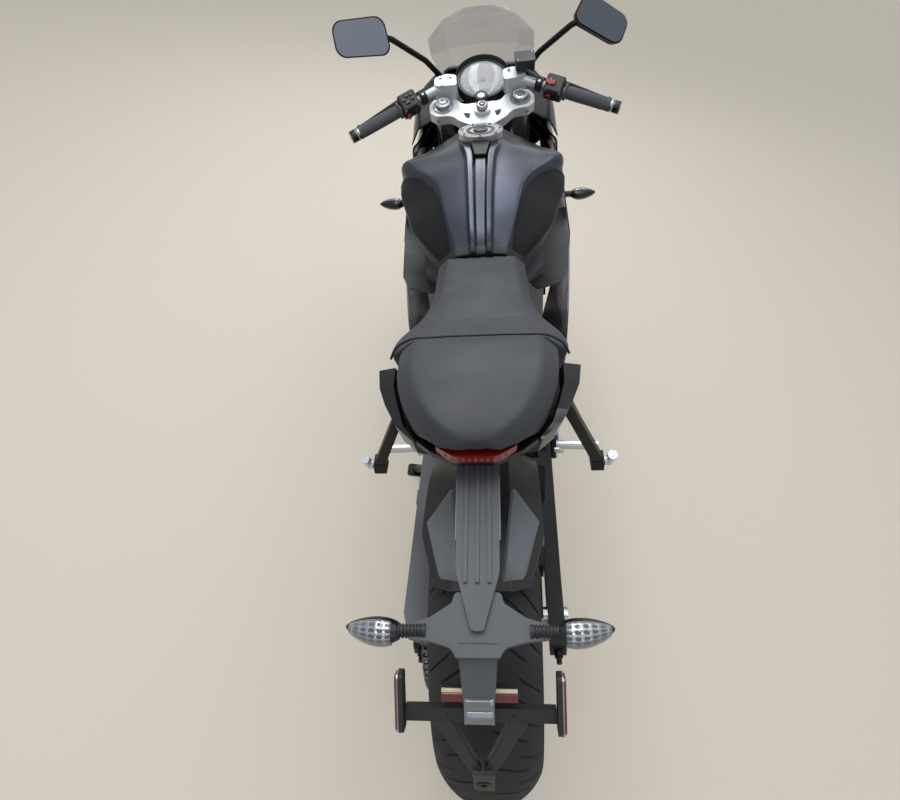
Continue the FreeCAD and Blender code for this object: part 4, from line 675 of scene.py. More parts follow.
def hull(
    stations: Stations, rows: int, samples: int = 6, grow: float = 0.0, fill: int = 0
) -> tuple[np.ndarray, int]:
    """Carries a mirrored, rounded section along Y, through stations, and closes both ends on a point.

    Args:
        stations: (y, right half's corners as (x, z, radius)) from the front or from the rear.
        rows: rows along the piece.
        samples: points on each corner.
        grow: how far the ends swell outwards, or inwards where it is negative.
        fill: points added on each straight side of the section.

    Returns:
        Points, and how many a row has.
    """
    start, end = min(y for y, _ in stations), max(y for y, _ in stations)
    at = start + (end - start) * (0.5 - 0.5 * np.cos(np.linspace(0, math.pi, rows)))
    outline = sections(stations, at, samples, fill)
    depth = np.broadcast_to(at[:, None], outline.shape[:2])
    grid = np.stack([outline[..., 0], depth, outline[..., 1]], axis=-1)
    middle = grid.mean(axis=1, keepdims=True)
    ends = [middle[:1] + (grid[:1] - middle[:1]) * share for share in (0.0, 0.5, 0.94)]
    tips = [middle[-1:] + (grid[-1:] - middle[-1:]) * share for share in (0.94, 0.5, 0.0)]
    ends = [ring - np.array([0.0, grow * (1 - share), 0.0]) for ring, share in zip(ends, (0.0, 0.2, 0.9))]
    tips = [ring + np.array([0.0, grow * (1 - share), 0.0]) for ring, share in zip(tips, (0.9, 0.2, 0.0))]
    grid = np.concatenate(ends + [grid] + tips)
    return grid.reshape(-1, 3), grid.shape[1]


def prism(
    outline: Sequence[Sequence[float]], low: float, high: float, at: Sequence[float] = (0, 0, 0),
    axis: Sequence[float] = (0, 0, 1), up: Sequence[float] = (0, 1, 0),
) -> Part:
    """Carries an outline (u, v) from one height to another along an axis.

    Args:
        outline: corners in the plane across the axis.
        low: the first height.
        high: the second height.
        at: where the plane's origin lies.
        axis: the direction of growing height.
        up: the direction of growing v.

    Returns:
        Points and faces.
    """
    flat = np.asarray(outline, float)
    count = len(flat)
    local = np.concatenate([np.c_[flat, np.full(count, low)], np.c_[flat, np.full(count, high)]])
    points = np.asarray(at, float) + local @ frame_of(axis, up)
    ends = [list(range(count))[::-1], list(range(count, 2 * count))]
    return points, lattice(2, count).tolist() + ends


def block(size: Sequence[float], at: Sequence[float], axis: Sequence[float] = (0, 0, 1),
          up: Sequence[float] = (0, 1, 0)) -> Part:
    """A block of a width, a length and a height about its middle, which a bevel then softens."""
    w, d, h = (s / 2 for s in size)
    return prism([(-w, -d), (w, -d), (w, d), (-w, d)], -h, h, at, axis, up)


def gathered(parts: Iterable[Part]) -> Part:
    """Puts several meshes into one list of points and one of faces.

    Args:
        parts: the meshes.

    Returns:
        One mesh.
    """
    points, faces, start = [], [], 0
    for some, shape in parts:
        points.append(some)
        faces.extend([[corner + start for corner in face] for face in shape])
        start += len(some)
    return np.concatenate(points), faces


def mirrored(part: Part) -> Part:
    """The same mesh on the other side of the bike."""
    return part[0] * np.array([-1.0, 1.0, 1.0]), part[1]


def both(part: Part) -> Part:
    """A mesh and its mirror image."""
    return gathered([part, mirrored(part)])


def slab(top: np.ndarray, low: np.ndarray) -> Part:
    """Joins two open grids of points, one above the other, with a wall round their rims.

    Args:
        top: the upper grid, rows by columns by three.
        low: the lower grid, of the same size.

    Returns:
        Points and faces.
    """
    rows, columns = top.shape[:2]
    count = rows * columns
    first = lattice(rows, columns, Shape.OPEN)
    rim = np.concatenate([
        np.arange(columns), np.arange(1, rows) * columns + columns - 1,
        np.arange(columns - 2, -1, -1) + (rows - 1) * columns, np.arange(rows - 2, 0, -1) * columns,
    ])
    wall = np.stack([rim, rim + count, np.roll(rim, -1) + count, np.roll(rim, -1)], axis=-1)
    faces = np.concatenate([first, first[:, ::-1] + count, wall]).tolist()
    return np.concatenate([top.reshape(-1, 3), low.reshape(-1, 3)]), faces


class Head(Enum):
    """What a bolt's head looks like."""

    SOCKET = "socket"
    HEX = "hex"
    BUTTON = "button"


def bolt(at: Sequence[float], axis: Sequence[float], radius: float, head: Head = Head.SOCKET) -> Part:
    """A bolt's head: radius r at height h, with six flats where the profile row is a hexagon.

    A hexagon's radius at angle a is r cos 30 degrees over the cosine of a's distance from the nearest flat.

    Args:
        at: the middle of the face that it sits on.
        axis: the direction out of that face.
        radius: of the head.
        head: which head.

    Returns:
        Points and faces.
    """
    rows = {
        Head.SOCKET: [
            (0, -1, 0), (1, -1, 0), (1, 0.75, 0), (0.9, 0.9, 0), (0.6, 0.9, 1), (0.58, 0.4, 1), (0, 0.4, 1)
        ],
        Head.HEX: [
            (0, -1, 0), (1.15, -1, 0), (1.15, 0.12, 0), (1, 0.15, 1),
            (1, 0.8, 1), (0.8, 0.92, 0), (0, 0.94, 0),
        ],
        Head.BUTTON: [
            (0, -1, 0), (1, -1, 0), (1, 0.1, 0), (0.75, 0.5, 0), (0.5, 0.58, 1), (0.48, 0.3, 1), (0, 0.3, 1)
        ],
    }[head]
    shape = np.array(rows, float)
    angle = np.linspace(0, 2 * math.pi, 24, endpoint=False)
    flat = np.cos(math.pi / 6) / np.cos((angle % (math.pi / 3)) - math.pi / 6)
    reach = shape[:, :1] * radius * np.where(shape[:, 2:] > 0.5, flat, 1.0)
    height = np.broadcast_to(shape[:, 1:2] * radius, reach.shape)
    local = np.stack([reach * np.cos(angle), reach * np.sin(angle), height], axis=-1)
    points = np.asarray(at, float) + local.reshape(-1, 3) @ frame_of(axis)
    return points, lattice(len(rows), 24).tolist()


@dataclass
class Bench:
    """Where the pieces are made: it turns bike millimetres into finished objects that ride on a body."""

    stance: Stance

    def piece(
        self, name: str, part: Part, finish: Surface, body: str = "chassis", fork: bool = False,
        bevel: float = 0.0, smooth: float = 35.0, replaces: Sequence[str] = (),
        values: dict[str, np.ndarray] | None = None,
    ) -> bpy.types.Object:
        """Makes one piece.

        Args:
            name: its plain name.
            part: points in millimetres, and faces.
            finish: its surface.
            body: the CAD body that it rides on.
            fork: whether the points are in the steering frame.
            bevel: width of the soft edge in millimetres.
            smooth: edges flatter than this many degrees are shaded smooth.
            replaces: the CAD nodes that it stands for.
            values: numbers for each point, by the name that the finish reads.

        Returns:
            The object.
        """
        points = np.asarray(part[0], float)
        world = self.stance.place(self.stance.from_fork(points) if fork else points)
        mesh = bpy.data.meshes.new(name)
        mesh.from_pydata(world.tolist(), [], [list(face) for face in part[1]])
        for label, numbers in (values or {}).items():
            numbers = np.asarray(numbers, np.float32)
            mesh.attributes.new(label, "FLOAT", "POINT").data.foreach_set("value", numbers)
        self.close(mesh)
        mesh.polygons.foreach_set("use_smooth", np.ones(len(mesh.polygons), bool))
        mesh.set_sharp_from_angle(angle=math.radians(smooth))
        mesh.materials.append(finish.build())
        piece = placed(name, mesh)
        if bevel:
            edge = piece.modifiers.new("soft_edges", "BEVEL")
            edge.width = bevel * MM
            edge.segments = 2
            edge.limit_method = "ANGLE"
            edge.angle_limit = math.radians(BEVEL_FROM_DEG)
            edge.harden_normals = True
        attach(piece, body)
        if replaces:
            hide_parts(*replaces)
        LOG.info("%s: %d faces", name, len(mesh.polygons))
        return piece

    @staticmethod
    def close(mesh: bpy.types.Mesh) -> None:
        """Merges the doubled points of seams and poles, and turns every face outwards.

        Args:
            mesh: the mesh, in metres.
        """
        work = bmesh.new()
        work.from_mesh(mesh)
        bmesh.ops.remove_doubles(work, verts=work.verts, dist=SAME_POINT)
        bmesh.ops.dissolve_degenerate(work, edges=work.edges, dist=NO_LENGTH)
        bmesh.ops.recalc_face_normals(work, faces=work.faces)
        work.to_mesh(mesh)
        work.free()


@dataclass
class Studio:
    """The pale floor, the soft light and the camera at the photograph's place."""

    stance: Stance
    eye: Point = (44.0, -629.7, 1409.7)
    yaw: float = 0.1223
    pitch: float = 0.7005
    roll: float = -0.1051
    focal_px: float = 603.6
    image_px: float = 900.0
    sensor_mm: float = 36.0
    floor_colour: str = "cdc6b9"
    floor_share: float = 0.45
    floor_half: float = 30.0
    floor_roughness: float = 0.85
    sky_colour: str = "e4e6ea"
    sky_strength: tuple[float, float] = (0.55, 0.8)
    sky_top: float = 0.8
    # name, place and size in metres, and watts
    lamps: tuple = (
        ("overhead_tube_left", (-0.74, 1.6, 3.1), (0.3, 6.0), 66.0),
        ("overhead_tube_middle", (0.02, 1.6, 3.1), (0.25, 6.0), 34.0),
        ("overhead_tube_right", (0.85, 1.6, 3.1), (0.25, 6.0), 14.0),
        ("front_softbox", (0.0, 4.6, 2.6), (4.0, 1.6), 14.0),
        ("rear_softbox", (0.2, -3.4, 2.6), (3.6, 1.6), 12.0),
    )
    lamp_target: Point = (0.0, 0.1, 0.5)

    def build(self) -> None:
        """Makes the floor, the world, the lamps and the camera."""
        self._floor()
        self._world()
        for lamp in self.lamps:
            self._lamp(*lamp)
        self._camera()

    def _floor(self) -> None:
        """A plain pale sheet 60 m across.

        Part of what the camera, gloss and glass see of it is its own colour, which keeps the far end as pale
        as the near one, and the rest is lit, so that the bike's shadow stays.
        """
        mesh = bpy.data.meshes.new("floor")
        half = self.floor_half
        corners = [(-half, -half, 0), (half, -half, 0), (half, half, 0), (-half, half, 0)]
        mesh.from_pydata(corners, [], [(0, 1, 2, 3)])
        floor = placed("floor", mesh)
        material = bpy.data.materials.new("pale_floor")
        material.use_nodes = True
        tree = material.node_tree
        shader = tree.nodes["Principled BSDF"]
        shader.inputs["Base Color"].default_value = to_linear(self.floor_colour)
        shader.inputs["Roughness"].default_value = self.floor_roughness
        own = add(tree, "ShaderNodeEmission", values={"Color": to_linear(self.floor_colour)})
        rays = add(tree, "ShaderNodeLightPath")
        seen = (rays, "Is Camera Ray")
        for kind in ("Is Glossy Ray", "Is Transmission Ray"):
            most = add(tree, "ShaderNodeMath", {"operation": "MAXIMUM"}, links={0: seen, 1: (rays, kind)})
            seen = (most, 0)
        share = add(tree, "ShaderNodeMapRange", values={"To Max": self.floor_share}, links={"Value": seen})
        mixed = add(
            tree, "ShaderNodeMixShader",
            links={0: (share, "Result"), 1: (shader, "BSDF"), 2: (own, "Emission")},
        )
        tree.links.new(mixed.outputs[0], tree.nodes["Material Output"].inputs["Surface"])
        mesh.materials.append(material)

    def _world(self) -> None:
        """A soft grey sky, darker towards the horizon, that the gloss picks up."""
        world = bpy.data.worlds.new("studio")
        world.use_nodes = True
        tree = world.node_tree
        sky = tree.nodes["Background"]
        sky.inputs["Color"].default_value = to_linear(self.sky_colour)
        place = add(tree, "ShaderNodeTexCoord")
        height = add(tree, "ShaderNodeSeparateXYZ", links={0: (place, "Generated")})
        low, high = self.sky_strength
        limits = {"From Min": 0.0, "From Max": self.sky_top, "To Min": low, "To Max": high}
        strength = add(tree, "ShaderNodeMapRange", values=limits, links={"Value": (height, "Z")})
        tree.links.new(strength.outputs["Result"], sky.inputs["Strength"])
        bpy.context.scene.world = world

    def _lamp(self, name: str, place: Sequence[float], size: Sequence[float], power: float) -> None:
        """A rectangular lamp. A tube shines straight down, and a softbox looks at the middle of the bike.

        Args:
            name: tube or softbox, and where it hangs.
            place: its middle in metres.
            size: its width and length in metres.
            power: in watts.
        """
        lamp = bpy.data.lights.new(name, "AREA")
        lamp.shape = "RECTANGLE"
        lamp.size, lamp.size_y = size
        lamp.energy = power
        piece = placed(name, lamp)
        piece.location = place
        if "tube" not in name:
            aim = np.array(self.lamp_target) - np.array(place)
            flat = math.hypot(aim[0], aim[1])
            piece.rotation_euler = (math.atan2(flat, -aim[2]), 0.0, math.atan2(-aim[0], aim[1]))

    def _camera(self) -> None:
        """A camera turned by yaw about up, pitch downwards and roll about its own axis."""
        sin_yaw, cos_yaw = math.sin(self.yaw), math.cos(self.yaw)
        sin_pitch, cos_pitch = math.sin(self.pitch), math.cos(self.pitch)
        ahead = np.array([-sin_yaw * cos_pitch, cos_yaw * cos_pitch, -sin_pitch])
        level = np.array([cos_yaw, sin_yaw, 0.0])
        up = np.cross(level, ahead)
        right = math.cos(self.roll) * level + math.sin(self.roll) * up
        top = -math.sin(self.roll) * level + math.cos(self.roll) * up
        axes = self.stance.aim(np.array([right, top, -ahead]))
        spot = self.stance.place(np.array(self.eye))
        data = bpy.data.cameras.new("camera")
        data.sensor_width = self.sensor_mm
        data.lens = self.focal_px / self.image_px * self.sensor_mm
        data.clip_start = 0.02
        piece = placed("camera", data)
        matrix = np.eye(4)
        matrix[:3, :3] = axes.T
        matrix[:3, 3] = spot
        piece.matrix_world = Matrix(matrix.tolist())
        bpy.context.scene.camera = piece


@dataclass
class RoadTyre:
    """A sport road tyre: a round crown, swelling sidewalls and slanting grooves cut in pairs."""

    bench: Bench
    name: str
    node: str
    body: str
    middle: Point
    radius: float
    width: float
    crown: float
    bead: float
    fork: bool = False
    rim_seat: float = 216.3
    rim_lip: float = 14.0
    wall: float = 9.0
    pitch: float = 68.0
    groove_width: float = 5.5
    groove_depth: float = 4.5

    def build(self) -> None:
        """Makes the tyre in place of its CAD node."""
        right, share = self._half_section()
        loop = np.concatenate([right[::-1], right[1:-1] * np.array([-1.0, 1.0])])
        share = np.concatenate([share[::-1], -share[1:-1]])
        count = round(2 * math.pi * self.radius / self.pitch)
        wide = self.groove_width / self.pitch
        steep = 0.18 * wide
        edge = [0, steep, wide - steep, wide, 0.5 * (wide + 0.5)]
        steps = np.array(edge + [0.5 + part for part in edge[:4]] + [0.5 * (1.5 + wide)])
        deep_right = np.array([0, 1, 1, 0, 0, 0, 0, 0, 0, 0])
        deep_left = np.array([0, 0, 0, 0, 0, 0, 1, 1, 0, 0])
        rows = (np.arange(count)[:, None] + steps[None]).reshape(-1) * (2 * math.pi / count)
        long_cut = self._fade(np.abs(share), 0.10, 0.66)
        short_cut = self._fade(np.abs(share), 0.48, 0.97)
        first = np.where(share > 0, long_cut, short_cut)
        second = np.where(share > 0, short_cut, long_cut)
        first = np.where(share == 0, 0, first)
        depth = np.tile(deep_right, count)[:, None] * first + np.tile(deep_left, count)[:, None] * second
        lean = 1.15 * self.pitch / self.radius * np.abs(share) ** 1.3
        angle = rows[:, None] + lean[None]
        radii = loop[None, :, 1] - self.groove_depth * depth
        across = np.broadcast_to(loop[None, :, 0], radii.shape)
        grid = np.stack([across, radii * np.cos(angle), radii * np.sin(angle)], axis=-1)
        part = (grid.reshape(-1, 3) + np.array(self.middle), lattice(*radii.shape, Shape.TORUS).tolist())
        self.bench.piece(self.name, part, TYRE, self.body, self.fork, smooth=50, replaces=(self.node,))

    def _half_section(self) -> tuple[np.ndarray, np.ndarray]:
        """The right half's (x, radius), from crown to bead and back inside, and the tread's share.

        The crown is x = c sin a and r = R - c + c cos a. The sidewall is a smooth curve through its own
        points.

        Returns:
            The points, and for each its share: zero in the middle and off the tread, one at the shoulder.
        """
        shoulder = self.width / 2 - 3
        most = math.asin(shoulder / self.crown)
        angle = np.linspace(0, most, 30)
        rise = self.radius - self.crown + self.crown * np.cos(angle)
        tread = np.stack([self.crown * np.sin(angle), rise], axis=-1)
        edge = tread[-1]
        top = self.rim_seat + self.rim_lip + 3
        knots = np.array([
            edge, [self.width / 2 - 0.5, 0.62 * edge[1] + 0.38 * top],
            [self.width / 2 - 6, 0.3 * edge[1] + 0.7 * top],
            [self.bead + 3, top + 4], [self.bead, top - 2], [self.bead, self.rim_seat],
        ])
        side = through(np.arange(len(knots)), knots, np.linspace(0, len(knots) - 1, 26))[1:]
        side[:, 1] = np.maximum(side[:, 1], self.rim_seat)
        inner = self.bead - self.wall
        inside = np.array([
            [inner, self.rim_seat], [inner, top], [shoulder - self.wall, edge[1] - 4],
            [shoulder * 0.5, self.radius - 22], [0, self.radius - 14],
        ])
        share = np.concatenate([angle / most, np.zeros(len(side) + len(inside))])
        return np.concatenate([tread, side, inside]), share

    @staticmethod
    def _fade(share: np.ndarray, start: float, end: float) -> np.ndarray:
        """One between two shares of the tread, running out to zero over a few columns at each end."""
        return np.clip((share - start) / 0.06, 0, 1) * np.clip((end - share) / 0.06, 0, 1) * (share > 0)


@dataclass
class Tank:
    """The pressed tank: a channel between two ribs, sunk matte knee recesses, and a black lip at its rear."""

    bench: Bench
    # y, then the right half's corners (x, z, radius) as the solid has them
    stations: tuple = (
        (500.2, [(8, 838, 1), (12, 844, 2), (19, 844, 2), (24, 838, 2),
                 (50, 836, 8), (74, 812, 8), (68, 790, 5)]),
        (530, [(8, 871, 1), (13, 878, 2), (21, 878, 2), (27, 871, 2),
               (60, 864, 12), (108, 834, 14), (92, 785, 6)]),
        (590, [(9, 910, 1), (14, 917, 2), (23, 917, 2), (29, 910, 2),
               (78, 902, 16), (150, 852, 16), (120, 778, 6)]),
        (670, [(10, 938, 1), (16, 945, 2), (26, 945, 2), (33, 938, 2),
               (100, 928, 20), (177, 866, 20), (132, 775, 6)]),
        (750, [(12, 951, 1), (19, 958, 2), (31, 958, 2), (39, 951, 2),
               (156, 930, 24), (195, 884, 22), (138, 775, 6)]),
        (802, [(18, 960, 1), (26, 962, 2), (40, 962, 2), (50, 957, 2),
               (195, 926, 26), (182, 872, 20), (140, 775, 6)]),
        (870, [(22, 962, 1), (30, 963, 2), (46, 962, 2), (56, 957, 2),
               (172, 910, 22), (162, 864, 18), (138, 775, 6)]),
        (935, [(22, 957, 1), (30, 958, 2), (44, 957, 2), (54, 950, 2),
               (150, 896, 18), (144, 854, 14), (122, 775, 6)]),
        (984.8, [(20, 940, 1), (28, 942, 2), (38, 942, 2), (46, 936, 2),
                 (98, 888, 10), (100, 848, 9), (94, 775, 5)]),
    )
    # The recess's edge: half width by y
    recess_y: tuple = (500, 508, 541, 612, 658, 698, 737, 764, 780)
    recess_x: tuple = (60, 62, 69, 85, 103, 127, 160, 190, 230)
    recess_depth: float = 3.2
    cap_middle: Point = (0.0, 850.0, 968.0)
    screw_ring: float = 46.5

    def build(self) -> None:
        """Makes the tank's shell, its lip, and the small parts round the filler and on its lid."""
        points, columns = hull(self.stations, 130, 6, fill=9)
        edge = np.interp(points[:, 1], self.recess_y, self.recess_x, right=400.0)
        inside = np.abs(points[:, 0]) - edge
        sunk = np.clip(inside / 5.0, 0, 1)
        sunk = sunk * sunk * (3 - 2 * sunk) * self.recess_depth
        points = points - np.stack([np.sign(points[:, 0]) * 0.8 * sunk, 0 * sunk, 0.5 * sunk], axis=-1)
        part = (points, lattice(len(points) // columns, columns).tolist())
        recess = {"recess": inside}
        self.bench.piece("tank_shell", part, TANK_LACQUER, smooth=60, replaces=("fuel_tank",), values=recess)
        self._lip()
        self._filler()

    def _lip(self) -> None:
        """The black lip round the tank's rear edge: the rear outline carried 11 mm forward, 1.6 mm proud."""
        at = np.array([500.1, 502.0, 509.0, 511.0])
        outline = sections(self.stations, at, 6, 3)
        proud = np.array([0.6, 1.6, 1.6, 0.2])[:, None, None]
        middle = outline.mean(axis=1, keepdims=True)
        outer = outline + unit(outline - middle) * proud
        rings = np.concatenate([outer, (outline - unit(outline - middle) * 1.0)[::-1]])
        depth = np.concatenate([at, at[::-1]])[:, None]
        grid = np.stack([rings[..., 0], np.broadcast_to(depth, rings.shape[:2]), rings[..., 1]], axis=-1)
        faces = lattice(len(rings), rings.shape[1], Shape.TORUS).tolist()
        self.bench.piece("tank_rear_lip", (grid.reshape(-1, 3), faces), BLACK_ABS, smooth=50)

    def _filler(self) -> None:
        """The screws round the filler's ring, and the key flap and the dark ring on the lid."""
        middle = np.array(self.cap_middle)
        up = np.array([0.0, 0.0, 1.0])
        angle = np.linspace(0, 2 * math.pi, 7, endpoint=False) + 0.2
        round_ring = np.stack([np.cos(angle), np.sin(angle), 0 * angle], axis=-1)
        spots = middle + up * 8.0 + self.screw_ring * round_ring
        self.bench.piece("filler_screws", gathered([bolt(spot, up, 3.0) for spot in spots]), STEEL)
        lid = middle + up * 8.5
        flap = turned([(0, -1), (17, -1), (17, 1.6), (15.5, 2.6), (9, 2.6), (8, 1.8), (0, 1.8)], lid, up, 36)
        self.bench.piece("filler_key_flap", flap, BLACK_ABS, "fuel_cap")
        dark = hooped([(25, 0), (25, 0.7), (34, 0.7), (34, 0)], lid - up * 0.1, up, 48)
        self.bench.piece("filler_dark_ring", dark, BLACK_ABS, "fuel_cap")


@dataclass
class Cushion:
    """A foam pad under stretched vinyl, swollen a little by the cloth simulation."""

    bench: Bench
    name: str
    node: str
    stations: tuple
    rows: int = 60
    inset: float = 2.5
    voxel: float = 0.005
    pressure: float = 1.5
    cap: float = 5.0
    fill: float = 0.85
    stiffness: float = 12.0
    bending: float = 4.0
    frames: int = 20
    held_height: float = 0.012

    def build(self) -> None:
        """Makes the pad, remeshes it, lets it swell, caps each point's move and smooths it once."""
        inset = self.inset
        small = tuple(
            (y, [
                (max(x - inset, 1), z - inset * (1 if k < 2 else -1), r)
                for k, (x, z, r) in enumerate(half)
            ])
            for y, half in self.stations
        )
        points, columns = hull(small, self.rows, 8, grow=-self.inset, fill=6)
        part = (points, lattice(len(points) // columns, columns).tolist())
        pad = self.bench.piece(self.name, part, VINYL, smooth=180, replaces=(self.node,))
        self._remesh(pad)
        self._swell(pad)
        finer = pad.modifiers.new("finer", "SUBSURF")
        finer.levels = finer.render_levels = 1

    def _remesh(self, pad: bpy.types.Object) -> None:
        """Gives the pad an even mesh of small squares.

        Args:
            pad: the cushion.
        """
        even = pad.modifiers.new("even", "REMESH")
        even.mode = "VOXEL"
        even.voxel_size = self.voxel
        even.use_smooth_shade = True
        self._apply(pad)

    def _swell(self, pad: bpy.types.Object) -> None:
        """Blows the pad up from inside while its underside stays where it rests.

        Args:
            pad: the cushion.
        """
        count = len(pad.data.vertices)
        start = np.empty(count * 3)
        pad.data.vertices.foreach_get("co", start)
        start = start.reshape(-1, 3)
        up = self.bench.stance.axes[2]
        height = start @ up
        held = np.flatnonzero(height < height.min() + self.held_height)
        group = pad.vertex_groups.new(name="held")
        group.add(held.tolist(), 1.0, "REPLACE")
        cloth = pad.modifiers.new("swell", "CLOTH")
        cloth.settings.quality = 4
        cloth.settings.use_pressure = True
        cloth.settings.uniform_pressure_force = self.pressure
        cloth.settings.tension_stiffness = self.stiffness
        cloth.settings.compression_stiffness = self.stiffness
        cloth.settings.bending_stiffness = self.bending
        cloth.settings.effector_weights.gravity = 0
        cloth.settings.vertex_group_mass = "held"
        for frame in range(1, self.frames + 1):
            bpy.context.scene.frame_set(frame)
        self._apply(pad)
        end = np.empty(count * 3)
        pad.data.vertices.foreach_get("co", end)
        move = end.reshape(-1, 3) - start
        length = np.linalg.norm(move, axis=1, keepdims=True)
        move *= np.minimum(1.0, self.cap * MM / np.maximum(length, 1e-9))
        pad.data.vertices.foreach_set("co", (start + move).reshape(-1))
        pad.data.update()
        bpy.context.scene.frame_set(1)

    @staticmethod
    def _apply(pad: bpy.types.Object) -> None:
        """Writes the modifiers' result into the pad's own mesh and takes the modifiers off.

        Args:
            pad: the cushion.
        """
        shape = bpy.data.meshes.new_from_object(pad.evaluated_get(bpy.context.evaluated_depsgraph_get()))
        old = pad.data
        shape.name = old.name + "_made"
        pad.modifiers.clear()
        pad.data = shape
        shape.polygons.foreach_set("use_smooth", np.ones(len(shape.polygons), bool))
        bpy.data.meshes.remove(old)


@dataclass
class Seats:
    """The rider's seat, the pillion pad and the welt where they meet."""

    bench: Bench
    rider: tuple = (
        (187.5, [(112, 849, 14), (150, 818, 14), (136, 768, 6)]),
        (218, [(114, 838, 16), (159, 810, 18), (142, 768, 6)]),
        (250, [(110, 829, 16), (157, 803, 18), (138, 768, 6)]),
        (285, [(102, 821, 16), (144, 797, 18), (126, 768, 6)]),
        (318, [(95, 817, 16), (125, 795, 14), (112, 768, 6)]),
        (360, [(86, 815, 16), (110, 793, 14), (100, 768, 6)]),
        (410, [(80, 817, 14), (101, 795, 12), (92, 768, 6)]),
        (460, [(76, 825, 12), (97, 804, 12), (88, 768, 6)]),
        (499, [(70, 838, 12), (92, 818, 10), (84, 768, 6)]),
    )
    pillion: tuple = (
        (183.5, [(104, 856, 14), (134, 828, 12), (128, 800, 6)]),
        (140, [(104, 866, 16), (131, 842, 14), (126, 800, 6)]),
        (60, [(96, 872, 18), (121, 848, 16), (114, 800, 6)]),
        (4, [(76, 868, 18), (99, 844, 14), (92, 802, 6)]),
        (-30, [(52, 861, 14), (74, 838, 12), (70, 822, 5)]),
        (-46, [(32, 853, 10), (52, 832, 8), (50, 823, 4)]),
        (-52.5, [(18, 846, 8), (34, 831, 6), (32, 824, 4)]),
    )
    welt_y: float = 185.4
    # the welt's right half: (x, z) from the middle outwards
    welt: tuple = ((0, 854.5), (70, 853.5), (112, 850), (138, 833), (149, 812))

    def build(self) -> None:
        """Makes both cushions and the welt between them."""
        Cushion(self.bench, "rider_cushion", "rider_seat", self.rider).build()
        Cushion(self.bench, "pillion_cushion", "pillion_seat", self.pillion).build()
        left = [(-x, z) for x, z in self.welt[:0:-1]]
        path = [(x, self.welt_y, z) for x, z in (*left, *self.welt)]
        self.bench.piece("seat_welt", swept(path, 2.2, 10, samples=80, up=(0, 1, 0)), BLACK_ABS)


@dataclass
class TailLight:
    """The row of red diodes behind the tail lamp's lens."""

    bench: Bench
    half_width: float = 50.0
    height: float = 814.0
    count: int = 13

    def build(self) -> None:
        """Makes the row of small domes along the lens's rounded rear edge."""
        share = np.linspace(-1, 1, self.count)
        x = share * self.half_width
        y = -56.5 + 18 * np.clip((np.abs(share) - 0.55) / 0.45, 0, 1) ** 1.3
        spots = np.stack([x, y, np.full_like(x, self.height)], axis=-1)
        dome = [(0, -1), (2.6, -1), (2.6, 0), (2.2, 0.9), (1.2, 1.5), (0, 1.7)]
        cells = gathered([turned(dome, spot, (0, -1, 0.1), 16) for spot in spots])
        self.bench.piece("tail_diodes", cells, DIODE)


